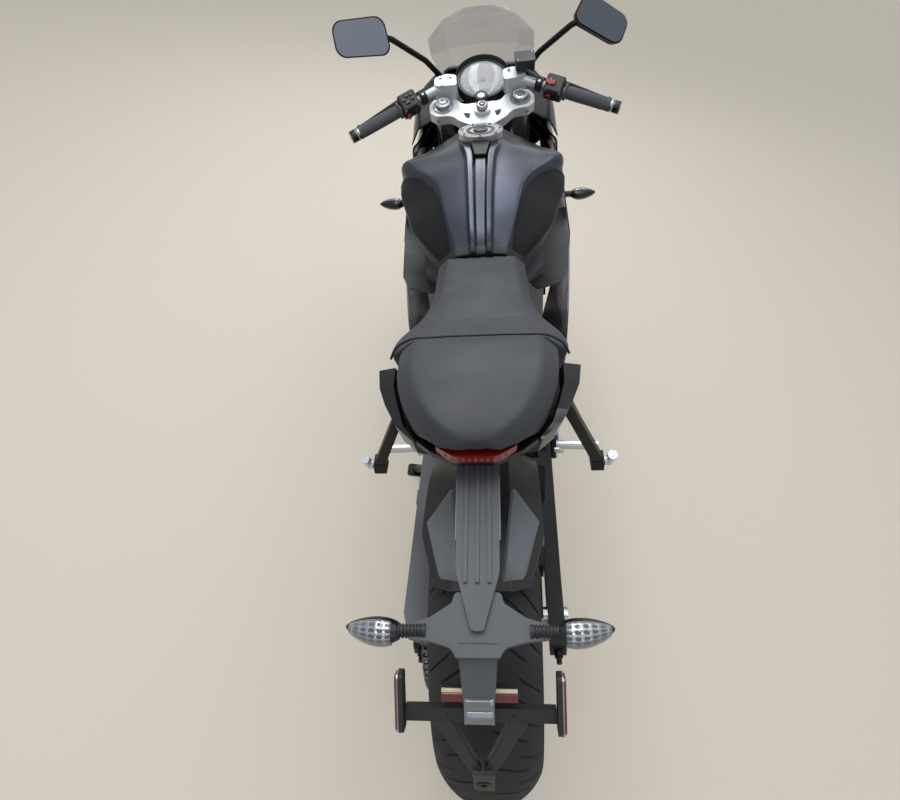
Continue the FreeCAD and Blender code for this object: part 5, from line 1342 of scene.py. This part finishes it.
@dataclass
class RearHanger:
    """What the mudguard hanger carries: lamp cap, reflectors, screws and the plate bolt's washer, and two
    pale strips of painted highlight.
    """

    bench: Bench
    neck: Point = (0.0, -258.0, 684.0)
    knee: Point = (0.0, -240.0, 692.0)
    tip: Point = (0.0, -312.0, 604.0)
    top: Point = (0.0, 40.0, 776.0)

    def build(self) -> None:
        """Makes the lamp cap, the red reflectors, the pale strips of painted highlight, the screws and the
        boss's washer.
        """
        down = unit(np.array(self.tip) - np.array(self.knee))
        out = np.array([0.0, down[2], -down[1]])
        self._lamp_cap(down, out)
        self._reflectors(down, out)
        self._highlight_strips()
        section = [(4.4, -0.5), (4.4, 1.2), (9.5, 1.2), (11, 0.4), (11, -0.5)]
        self.bench.piece("plate_bolt_washer", hooped(section, (0, -344, 478), (0, -1, 0), 32), BLACK_COAT)

    def _lamp_cap(self, down: np.ndarray, out: np.ndarray) -> None:
        """The silver plate-lamp cap: a shallow arch of (u, h) carried down the neck's end.

        Args:
            down: the unit direction down the neck.
            out: the unit direction out of its face.
        """
        u = np.linspace(-19, 19, 25)
        arch = 3.5 * np.sqrt(np.clip(1 - (u / 19.5) ** 6, 0, 1))
        along = np.array([62.0, 64.0, 76.0, 78.0, 80.0, 92.0, 95.0])
        lift = np.array([0.2, 1.0, 1.0, 0.45, 1.0, 1.0, 0.1])
        height = arch[None] * lift[:, None] + 0.3
        top = np.stack(np.broadcast_arrays(u[None], along[:, None], height), axis=-1)
        low = top.copy()
        low[..., 2] = -0.5
        local, faces = slab(top, low)
        points = np.array(self.neck) + local @ np.array([[-1.0, 0.0, 0.0], down, out])
        self.bench.piece("plate_lamp_cap", (points, faces), DULL_PLATE, smooth=50)

    def _reflectors(self, down: np.ndarray, out: np.ndarray) -> None:
        """The bars each side of the neck, and the side reflectors' red faces in black frames.

        Args:
            down: the unit direction down the neck.
            out: the unit direction out of its face.
        """
        neck = np.array(self.neck)
        for name, size, along, finish, bevel in (
            ("rear_reflector_red", (29, 11, 5), 66, RED_LENS, 1.2),
            ("rear_reflector_cream", (29, 5, 4), 57.5, CREAM_LENS, 1.0),
        ):
            middle = neck + down * along + out * -11
            bars = [block(size, middle + np.array([x, 0, 0]), out, down) for x in (-34, 34)]
            self.bench.piece(name, gathered(bars), finish, bevel=bevel)
        middle = (neck + down * 75 + out * -17) * np.array([0, 1, 1])
        outline = np.array([
            (-37, -11), (-34, -12), (34, -12), (38, -9), (38, 9), (34, 12), (-34, 12), (-38, 9), (-38, -9)
        ], float)
        for name, shares, low, high, finish, bevel, replaces in (
            ("reflector_frames", (1, 1), 97.6, 105.5, BLACK_ABS, 1.5, ("side_reflectors",)),
            ("reflector_rims", (1, 1), 103.4, 106.2, STEEL, 0.8, ()),
            ("reflector_faces", (0.95, 0.86), 105.4, 108.9, RED_LENS, 1.0, ()),
        ):
            solid = prism(outline * shares, low, high, middle, (1, 0, 0), out)
            self.bench.piece(name, both(solid), finish, bevel=bevel, replaces=replaces)

    def _highlight_strips(self) -> None:
        """Two pale strips of painted highlight in the grooves beside the spine, and the two screws at its
        top.
        """
        start, end = np.array(self.top), np.array(self.knee)
        fall = unit(end - start)
        out = np.array([0.0, fall[2], -fall[1]])
        out = out if out[2] > 0 else -out
        middle = start + fall * 128 + out * 7.5
        # Painted highlight: two thin pale strips lie where light catches the edges of the grooves beside the
        # spine
        highlight_bars = [block((2.0, 92, 3.0), middle + np.array([x, 0, 0]), out, fall) for x in (-30.5, 30.5)]
        self.bench.piece("hanger_highlight_strips", gathered(highlight_bars), PALE_ABS_AND_HIGHLIGHT, bevel=0.5)
        spots = [start + fall * 12 + out * 9 + np.array([x, 0, 0]) for x in (-24, 24)]
        screws = [bolt(spot, out, 4.0, Head.BUTTON) for spot in spots]
        self.bench.piece("hanger_screws", gathered(screws), STEEL)


@dataclass
class HuggerWings:
    """The two raised kite-shaped panels of the hugger, laid on its arch.

    A point at x and at angle a round the rear axle lies at (x, r cos a, r sin a), r from the arch's profile.
    """

    bench: Bench
    axle: Point = (0.0, 0.0, 315.0)
    crown: float = 330.4
    proud: float = 5.0
    # corners as (x, degrees round the axle from straight ahead): rear inner and outer, front outer and inner
    corners: tuple = ((31.0, 111.8), (65.0, 110.6), (92.0, 92.0), (49.0, 80.5))

    def build(self) -> None:
        """Makes both panels as grids between their corners, with a wall down to the arch."""
        rows, columns = 14, 10
        a, b, c, d = (np.array(corner) for corner in self.corners)
        v = np.linspace(0, 1, rows)[:, None, None]
        u = np.linspace(0, 1, columns)[None, :, None]
        flat = (1 - v) * ((1 - u) * a + u * b) + v * ((1 - u) * d + u * c)
        edge = np.minimum.reduce([u + 0 * v, 1 - u + 0 * v, v + 0 * u, 1 - v + 0 * u])[..., 0]
        lift = self.proud * np.clip(edge / 0.04, 0, 1)
        x, angle = flat[..., 0], np.radians(flat[..., 1])
        drop = np.interp(x, [0, 45, 98, 110], [0, 0, 27, 40])
        radius = self.crown - drop + lift - 0.6
        top, low = (
            np.stack([x, r * np.cos(angle), r * np.sin(angle)], axis=-1) + np.array(self.axle)
            for r in (radius, radius - lift - 1)
        )
        self.bench.piece("hugger_wings", both(slab(top, low)), PALE_ABS_AND_HIGHLIGHT, smooth=30)


@dataclass
class TurnSignal:
    """A leaf-shaped turn signal: ribbed stalk, black housing and a ridged bright cup behind a clear lens.

    At the share t of its length, the leaf's half height is its greatest times sin(pi s^0.78)^0.62, with
    s = 0.04 + 0.96 t, and round it the shape is an ellipse.
    """

    bench: Bench
    name: str
    node: str
    root: Point
    length: float
    stalk: float
    height: float = 14.5
    depth: float = 18.0
    sleeve: float = 0.0
    ahead: bool = False

    def build(self) -> None:
        """Makes the pair: housings, cups, lenses, their edges and the stalks."""
        root = np.array(self.root)
        start = root + np.array([self.stalk, 0.0, 0.0])
        span = self.length - self.stalk
        t = np.linspace(0, 1, 30)
        size = np.sin(math.pi * np.clip(0.04 + 0.96 * t, 0, 1) ** 0.78) ** 0.62
        size[0], size[-1] = 0.0, 0.0
        angle = np.linspace(0, 2 * math.pi, 36, endpoint=False)
        x = start[0] - 4 + t * (span + 4)
        sweep = 6 * t**2
        way = -1.0 if self.ahead else 1.0
        around = np.stack([
            np.broadcast_to(x[:, None], (30, 36)),
            start[1] + sweep[:, None] + self.depth * size[:, None] * np.cos(angle)[None],
            start[2] - 1 + self.height * size[:, None] * np.sin(angle)[None],
        ], axis=-1)
        shell = (around.reshape(-1, 3), lattice(30, 36).tolist())
        self.bench.piece(self.name + "_shells", both(shell), GLOSS_ABS, smooth=60, replaces=(self.node,))
        angle = np.linspace(math.radians(72), math.radians(285), 40)
        some = slice(5, 28)
        ridge = 1.0 - 0.1 * np.abs(np.sin(angle * 7))[None] * np.abs(np.sin(t[some] * 22))[:, None]
        for label, grow, finish in (("reflectors", 0.6, REFLECTOR), ("lenses", 2.2, FACET_LENS)):
            ripple = ridge if label == "reflectors" else np.ones_like(ridge)
            skin = np.stack([
                np.broadcast_to(x[some, None], ridge.shape),
                start[1] + sweep[some, None]
                + way * (self.depth * ripple + grow) * size[some, None] * np.cos(angle)[None],
                start[2] - 1 + (self.height * ripple + grow) * size[some, None] * np.sin(angle)[None],
            ], axis=-1)
            part = (skin.reshape(-1, 3), lattice(ridge.shape[0], 40, Shape.OPEN).tolist())
            cover = self.bench.piece(f"{self.name}_{label}", both(part), finish, smooth=60)
            wall = cover.modifiers.new("wall", "SOLIDIFY")
            wall.thickness = 0.0008
        edge = skin[:, 27] + np.array([0.0, 0.0, -0.4])
        band = swept(edge, 1.3, 8, up=(0, 0, 1))
        self.bench.piece(self.name + "_lens_edges", both(band), CREAM_LENS)
        rings = [(0, -2 - self.sleeve), (9.0, -2 - self.sleeve)]
        for spot in np.arange(-self.sleeve, self.stalk, 4.4):
            rings += [(9.0, spot + 0.4), (9.0, spot + 2.2), (7.4, spot + 2.8), (7.4, spot + 4.2)]
        rings += [(7.4, self.stalk + 3), (0, self.stalk + 3)]
        stalk = turned(rings, root, (1, 0, 0), 24)
        self.bench.piece(self.name + "_stalks", both(stalk), BLACK_ABS, smooth=30)


@dataclass
class Controls:
    """What is on the bars and the yoke: grips, bar ends, switches, reservoir lid, adjusters, nut and lock."""

    bench: Bench
    inner: Point = (84.0, 82.0, 1074.0)
    outer: Point = (343.0, -38.0, 1040.0)
    grip_length: float = 122.0
    reservoir: tuple[float, float] = (120.0, 88.0)
    fork_cap: Point = (103.0, 33.0, 1055.0)
    lock: Point = (0.0, 48.0, 1050.0)

    def build(self) -> None:
        """Makes the pieces, all of them in the steering frame."""
        inner, outer = np.array(self.inner), np.array(self.outer)
        along = unit(outer - inner)
        length = float(np.linalg.norm(outer - inner))
        start = length - self.grip_length - 14
        self._grips(inner + along * start, along)
        self._bar_ends(inner + along * (length - 14.5), along)
        self._switches(inner, along, start)
        self._yoke()

    def _fit(self, name: str, part: Part, finish: Surface, **options: float | Sequence[str]) -> None:
        """Makes a piece in the steering frame that rides on the fork."""
        self.bench.piece(name, part, finish, "fork", True, **options)

    def _grips(self, at: np.ndarray, along: np.ndarray) -> None:
        """Rubber grips: radius 16.2 plus 0.8 times a wave of 3.2 mm, with flanges at both ends.

        Args:
            at: where the piece starts on the bar.
            along: the bar's direction outwards.
        """
        height = np.linspace(4, 117, 210)
        ripple = 0.5 + 0.5 * np.sin(2 * math.pi * height / 3.2)
        radius = 16.2 + 0.8 * ripple * (np.abs(height - 60) < 50)
        profile = [(11.4, -3), (21, -3), (21.6, 0), (21, 3)] + np.c_[radius, height].tolist()
        profile += [(17.6, 118), (17.8, 120.5), (16, 121), (11.4, 121)]
        self._fit("bar_grips", both(hooped(profile, at, along, 32)), RUBBER, smooth=60, replaces=("grips",))

    def _bar_ends(self, at: np.ndarray, along: np.ndarray) -> None:
        """Black bar ends with a turned silver ring behind them.

        Args:
            at: where the piece starts on the bar.
            along: the bar's direction outwards.
        """
        black = [(0, 9), (15.4, 9), (15.8, 11), (15.8, 24), (14.5, 26.8), (7, 26.8), (6, 24), (0, 24)]
        ring = [(0, 0.6), (15.9, 0.6), (16.2, 2), (16.2, 7), (15.6, 8), (0, 8)]
        self._fit("bar_ends", both(turned(black, at, along)), GLOSS_ABS, smooth=40)
        self._fit("bar_end_rings", both(turned(ring, at, along)), STEEL, smooth=40)

    def _switches(self, inner: np.ndarray, along: np.ndarray, grip: float) -> None:
        """Buttons on the boxes: black ones and a red trigger on the left, a red rocker on the right.

        Args:
            inner: where the bar starts.
            along: the bar's direction outwards.
            grip: the distance along the bar at which the grip starts.
        """
        c = 1 + along[2]
        down = np.array([1 - along[0] ** 2 / c, -along[0] * along[1] / c, -along[0]])
        ahead = np.array([-along[0] * along[1] / c, 1 - along[1] ** 2 / c, -along[1]])
        top, back = -down, -ahead

        def spot(distance: float, side: float, height: float) -> np.ndarray:
            """A place by its distance along the bar, towards the rider, and up."""
            return inner + along * distance + back * side + top * height

        box = grip - 56
        places = ((14, -12), (26, -13), (14, 0), (37, -6))
        buttons = [block((9, 8, 5), spot(box + a, b, 27.0), top, ahead) for a, b in places]
        buttons += [
            block((13, 9, 6), spot(box + 30, 4, 27.0), top, ahead),
            block((12, 10, 6), spot(box + 16, 23, 10.0), back, top),
        ]
        trigger = block((10, 20, 10), spot(box + 38, 24, -4.0), back, top)
        self._fit("left_switch_buttons", mirrored(gathered(buttons)), GLOSS_ABS, bevel=1.2)
        self._fit("left_red_trigger", mirrored(trigger), RED_SWITCH, bevel=2.0)
        rocker = block((12, 26, 8), spot(box + 14, 0, 27.5), top, along)
        starter = block((11, 12, 8), spot(box + 16, 23.5, 2.0), back, top)
        self._fit("right_red_rocker", gathered([rocker, starter]), RED_SWITCH, bevel=2.2)
        marks = [block((6, 0.9, 0.6), spot(box + 14, b, 31.7), top, along) for b in (-7, 7)]
        self._fit("right_rocker_marks", gathered(marks), PALE_EDGE)
        housing = [(0, -24), (23, -24), (24, -22), (24, -6), (22, -4), (0, -4)]
        self._fit("twist_housing", turned(housing, inner + along * (grip - 2), along), BLACK_ABS, bevel=1.0)
        screws = [bolt(spot(box + a, 20, 22.0), unit(back + top), 2.6) for a in (8, 44)]
        self._fit("switch_screws", both(gathered(screws)), STEEL)
        seam = block((0.8, 49, 51), spot(box + 25, 0.0, 0.2), along, ahead)
        self._fit("switch_seams", both(seam), BLACK_COAT)
        self._fit("perch_screws", both(bolt(spot(box - 16, 2, 19), top, 3.6)), STEEL)
        self._reservoir()

    def _reservoir(self) -> None:
        """The brake reservoir's lid, its two screws and its short hose."""
        x, y = self.reservoir
        self._fit("reservoir_lid", block((52, 42, 5), (x, y, 1119.5)), BLACK_ABS, bevel=1.6)
        screws = [bolt((x + a, y + b, 1122), (0, 0, 1), 2.8, Head.BUTTON) for a, b in ((-20, -14), (20, 14))]
        self._fit("reservoir_screws", gathered(screws), STEEL)
        path = [(124, 72, 1094), (136, 58, 1092), (150, 52, 1082), (157, 50, 1068)]
        self._fit("reservoir_hose", swept(path, 4.2, 14, samples=30), RUBBER)

    def _yoke(self) -> None:
        """Adjusters in the fork caps, the stem nut, the clamp screws and the ignition lock."""
        up = (0, 0, 1)
        adjuster = [
            (0, -1), (14.5, -1), (14.5, 1.2), (13, 2), (10.5, 2), (10.5, 5), (9.6, 5.6), (4, 5.6),
            (3.6, 3.6), (0, 3.6),
        ]
        self._fit("fork_adjusters", both(turned(adjuster, self.fork_cap, up, 32)), STEEL, smooth=30)
        collar = [(14.8, -1), (18.6, -1), (18.6, 1.0), (16.6, 1.8), (14.8, 1.2)]
        self._fit("fork_cap_collars", both(hooped(collar, self.fork_cap, up)), CAST_SILVER)
        self._fit("stem_nut", bolt((0, 0, 1050.5), up, 15.0, Head.HEX), STEEL, smooth=30)
        core = [(0, 0), (8.4, 0), (8.4, 15.4), (7.6, 16), (5.2, 16), (4.8, 12), (0, 12)]
        self._fit("stem_core", turned(core, (0, 0, 1050), up, 28), BLACK_COAT, smooth=30)
        lock = [(0, -8), (18, -8), (18, 2), (16, 4.4), (11.5, 4.4), (10.5, 2.6), (0, 2.6)]
        self._fit("ignition_lock", turned(lock, self.lock, up, 36), BLACK_ABS, smooth=30)
        face = turned([(0, 2.4), (9.8, 2.4), (9.4, 3.6), (0, 3.6)], self.lock, up, 32)
        self._fit("lock_face", face, STEEL, smooth=30)
        x, y, z = self.lock
        self._fit("lock_slot", block((1.8, 9, 1.2), (x, y, z + 3.6), up), BLACK_COAT)
        screws = [
            bolt((118, -1.5, 1029), (0.35, -1, 0), 4.6), bolt((92, 98, 1078), (0.2, 1, 0), 4.2),
            bolt((104, 90, 1085.2), up, 4.2), bolt((78, 90, 1085.2), up, 4.2),
        ]
        self._fit("clamp_screws", both(gathered(screws)), STEEL, smooth=30)


@dataclass
class Gauge:
    """The round instrument: a grey dial with marks, a pointer and a display under a dome, in a hood."""

    bench: Bench
    middle: Point = (0.0, 1262.0, 990.0)
    tilt_deg: float = 30.0
    radius: float = 65.0

    def build(self) -> None:
        """Makes the dial, the marks, the pointer, the display, the dome and the hood."""
        angle = math.radians(self.tilt_deg)
        out = np.array([0.0, -math.sin(angle), math.cos(angle)])
        over = np.array([0.0, math.cos(angle), math.sin(angle)])
        middle = np.array(self.middle)
        side = np.array([1.0, 0.0, 0.0])
        dial = turned([(0, 0), (self.radius - 0.6, 0), (self.radius - 0.6, 0.8), (0, 0.8)], middle, out, 64)
        self.bench.piece("gauge_dial", dial, DIAL, smooth=30)
        turns = np.radians(np.linspace(-130, 130, 27))
        marks = []
        for i, turn in enumerate(turns):
            spoke = math.sin(turn) * side + math.cos(turn) * over
            size = (1.6, 8.0, 0.5) if i % 2 == 0 else (0.9, 5.0, 0.5)
            marks.append(block(size, middle + spoke * 56 + out * 1.0, out, spoke))
        self.bench.piece("gauge_marks", gathered(marks), PALE_EDGE)
        spoke = unit(-0.8 * side - 0.6 * over)
        pointer = [block((1.6, 44, 0.8), middle + spoke * 26 + out * 2.4, out, spoke)]
        pointer.append(turned([(0, 0), (7, 0), (6.4, 3.4), (0, 3.4)], middle + out * 0.8, out, 28))
        self.bench.piece("gauge_pointer", gathered(pointer), RED_SWITCH, smooth=30)
        screen = block((58, 24, 1.0), middle - over * 26 + out * 1.2, out, over)
        self.bench.piece("gauge_screen", screen, LCD, bevel=0.4)
        height = np.linspace(0, 1, 12)
        height = height * math.pi / 2
        profile = np.c_[(self.radius - 1) * np.cos(height), 4 + 9 * np.sin(height)]
        profile[-1, 0] = 0.0
        self.bench.piece("gauge_dome", turned(profile.tolist(), middle, out, 64), CLEAR_DOME, smooth=80)
        turns = np.linspace(math.radians(-95), math.radians(95), 40)
        shape = np.array([(72.5, -8), (74.5, -8), (75.5, 9), (77, 17), (75.5, 17.6), (73, 9)])
        spokes = np.sin(turns)[:, None] * side + np.cos(turns)[:, None] * over
        fade = np.clip(np.minimum(turns - turns[0], turns[-1] - turns) / 0.5, 0, 1)[:, None, None]
        height = np.maximum(shape[:, 1], 0)[None, :, None] * fade + np.minimum(shape[:, 1], 0)[None, :, None]
        rings = middle + spokes[:, None] * shape[None, :, :1] + out * height
        caps = [list(range(6))[::-1], list(range(39 * 6, 40 * 6))]
        hood = (rings.reshape(-1, 3), lattice(40, 6).tolist() + caps)
        self.bench.piece("gauge_hood", hood, BLACK_ABS, smooth=50)


@dataclass
class Trims:
    """Black sheets from the instrument to the fairing, painted cheeks beside them, and the filler's apron."""

    bench: Bench
    # the right sheet's inner and outer edge, from the rear to the front
    inner: tuple = ((78, 1176, 944), (79, 1232, 964), (84, 1300, 980), (98, 1354, 968))
    outer: tuple = ((180, 1128, 906), (184, 1200, 938), (180, 1268, 966), (140, 1352, 994))
    # where the cheek meets the nose's side
    lower: tuple = ((203, 1128, 866), (202, 1200, 872), (193, 1268, 884), (167, 1352, 912))

    def build(self) -> None:
        """Makes the sheets, the fairing's cheeks beside them and the apron.

        Each sheet is a grid between its edges, sunk by 8 sin(pi u) sin(pi v / 3), and each cheek bulges by 6
        of the same.
        """
        v = np.linspace(0, 3, 25)
        inner, outer, lower = (
            through(np.arange(4), np.array(edge, float), v)[:, None]
            for edge in (self.inner, self.outer, self.lower)
        )
        u = np.linspace(0, 1, 14)[None, :, None]
        wave = np.sin(math.pi * u[..., 0]) * np.sin(math.pi * v / 3)[:, None]
        sheet = (1 - u) * inner + u * outer
        sheet[..., 2] -= 8 * wave
        cheek = (1 - u) * outer + u * lower
        cheek[..., 0] += 6 * wave
        for name, grid, finish in (
            ("dash_side_sheets", sheet, MATTE_PAINT), ("fairing_cheeks", cheek, TANK_PAINT)
        ):
            part = (grid.reshape(-1, 3), lattice(25, 14, Shape.OPEN).tolist())
            wall = self.bench.piece(name, both(part), finish, smooth=60).modifiers.new("wall", "SOLIDIFY")
            wall.thickness = 0.003
            wall.offset = 0.0
        outline = [(-22, 27), (22, 27), (13, -27), (-13, -27)]
        apron = prism(outline, -5, 2.4, (0, 771, 959.5), (0, -0.2, 0.98), (0, 1, 0.2))
        self.bench.piece("filler_apron", apron, MATTE_PAINT, bevel=1.6)


@dataclass
class DriveChain:
    """The drive chain: plates, rollers and pins, spaced evenly round both sprockets."""

    bench: Bench
    x: float = -109.0
    rear: tuple[float, float] = (0.0, 315.0)
    front: tuple[float, float] = (600.0, 400.0)
    rear_radius: float = 126.0
    front_radius: float = 48.0
    pitch: float = 15.9

    def build(self) -> None:
        """Makes the links in place of the plain band, inner and outer plates by turns."""
        joints = self._joints()
        following = np.roll(joints, -1, axis=0)
        half = float(np.linalg.norm(following[0] - joints[0])) / 2
        bend = np.radians([-75, -38, 0, 38, 75])
        right = np.stack([half + 6.6 * np.cos(bend), 6.6 * np.sin(bend)], axis=-1)
        outline = np.concatenate([right, [(0, 4.4)], -right, [(0, -4.4)]])
        parts = []
        for k, (start, end) in enumerate(zip(joints, following)):
            middle = (self.x, *((start + end) / 2))
            out = (0.0, -(end - start)[1], (end - start)[0])
            near = 6.9 if k % 2 else 4.9
            parts += [prism(outline, low, low + 1.6, middle, (1, 0, 0), out) for low in (near, -near - 1.6)]
            spot = (self.x, *start)
            parts.append(turned([(0, -4.8), (5, -4.8), (5, 4.8), (0, 4.8)], spot, (1, 0, 0), 10))
            parts.append(turned([(0, -9), (2.3, -9), (2.3, 9), (0, 9)], spot, (1, 0, 0), 8))
        self.bench.piece("chain_links", gathered(parts), CHAIN_STEEL, smooth=40, replaces=("chain",))

    def _joints(self) -> np.ndarray:
        """The pins' (y, z), at even steps of the length along two tangents and two arcs.

        Returns:
            One row for each pin.
        """
        rear, front = np.array(self.rear), np.array(self.front)
        span = front - rear
        tilt = math.atan2(span[1], span[0])
        drop = math.asin((self.rear_radius - self.front_radius) / float(np.linalg.norm(span)))
        up, down = tilt + math.pi / 2 - drop, tilt - math.pi / 2 + drop
        over = np.linspace(up, down, 60)
        under = np.linspace(down, up - 2 * math.pi, 120)
        line = np.concatenate([
            front + self.front_radius * np.stack([np.cos(over), np.sin(over)], axis=-1),
            rear + self.rear_radius * np.stack([np.cos(under), np.sin(under)], axis=-1),
        ])
        line = np.concatenate([line, line[:1]])
        length = np.concatenate([[0], np.cumsum(np.linalg.norm(np.diff(line, axis=0), axis=1))])
        count = 2 * round(length[-1] / self.pitch / 2)
        at = np.arange(count) * length[-1] / count
        return np.stack([np.interp(at, length, line[:, 0]), np.interp(at, length, line[:, 1])], axis=-1)


@dataclass
class Pegs:
    """The bolts that hold both peg hangers."""

    bench: Bench

    def build(self) -> None:
        """Makes three bolts on each side."""
        spots = [(157.2, 444, 470), (157.2, 372, 400), (157.2, 412, 340)]
        screws = [bolt(spot, (1, 0, 0), 6.0) for spot in spots]
        self.bench.piece("hanger_bolts", both(gathered(screws)), STEEL, smooth=30)


# Each finish with the CAD nodes that wear it. The tail cowls have two, which dress_nodes gives them.
NODE_GROUPS: tuple[tuple[Surface, str], ...] = (
    (STEEL, "fork_tubes front_axle front_discs rear_disc rear_sprocket cap_ring"),
    (STEEL, "rear_axle pivot_bolt chain shock"),
    (BLACK_COAT, "fork_sliders bottom_yoke front_calipers levers front_rim rear_rim side_stand"),
    (BLACK_COAT, "subframe radiator swingarm rear_caliper fairing_stay stand_bracket"),
    (BLACK_COAT, "peg_hangers mirrors"),
    (CAST_SILVER, "top_yoke handlebars"),
    (TANK_PAINT, "front_mudguard belly_pan fuel_tank nose_cowl side_panels"),
    (BLACK_ABS, "switch_boxes brake_reservoir hugger inner_trims plate_carrier"),
    (BLACK_ABS, "front_indicators instrument dash_panel"),
    (GREY_ABS, "mudguard_hanger"),
    (RUBBER, "grips"),
    (TYRE, "front_tyre rear_tyre"),
    (CHROME, "cap_lid"),
    (GREY_COAT, "frame chain_guard"),
    (ENGINE_COAT, "engine"),
    (SILVER_TUBE, "exhaust"),
    (CLEAR_SCREEN, "windscreen"),
    (CLEAR_LENS, "rear_indicators headlamps"),
    (PEG_ALLOY, "foot_controls foot_pegs"),
    (VINYL, "rider_seat pillion_seat"),
    (RED_LENS, "tail_lamp side_reflectors"),
    (MIRROR, "mirror_glass"),
)


def dress_nodes(nodes: dict[str, bpy.types.Object], stance: Stance) -> None:
    """Gives each CAD node its finish, and the tail cowls gloss black behind a line across them.

    Args:
        nodes: the CAD objects by name.
        stance: where the bike stands.
    """
    forward = stance.axes[1]
    line = float(stance.place(np.array([0.0, 47.0, 830.0])) @ forward)
    finishes = {name: finish for finish, names in NODE_GROUPS for name in names.split()}
    finishes["tail_cowls"] = TwoTone(
        "tail_lacquer", GLOSS_BLACK, MATTE_PAINT, axis=tuple(forward.tolist()), start=line
    )
    for name, piece in nodes.items():
        piece.data.materials.clear()
        piece.data.materials.append(finishes[name].build())


def add_pieces(bench: Bench) -> None:
    """Makes every piece that the solids leave out.

    Args:
        bench: where the pieces are made.
    """
    Tank(bench).build()
    Seats(bench).build()
    RoadTyre(bench, "rear_road_tyre", "rear_tyre", "rear_wheel", (0, 0, 315), 315, 180, 98, 66).build()
    RoadTyre(
        bench, "front_road_tyre", "front_tyre", "front_wheel", (0, 43.29, 308.79), 300, 120, 64, 44, fork=True
    ).build()
    TailLight(bench).build()
    RearHanger(bench).build()
    HuggerWings(bench).build()
    TurnSignal(bench, "rear_signal", "rear_indicators", (92.3, -238, 691), 80, 9, sleeve=24).build()
    TurnSignal(bench, "front_signal", "front_indicators", (218, 1066, 724), 92, 24, ahead=True).build()
    Controls(bench).build()
    Gauge(bench).build()
    Trims(bench).build()
    DriveChain(bench).build()
    Pegs(bench).build()


def main() -> None:
    """Loads the frame and builds the scene in order."""
    logging.basicConfig(level=logging.INFO, format="%(message)s")
    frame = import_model()
    stance = Stance.from_joints(frame["joints"])
    bpy.context.scene.view_settings.view_transform = "Standard"
    Studio(stance).build()
    dress_nodes(frame["nodes"], stance)
    add_pieces(Bench(stance))


if __name__ == "__main__":
    main()
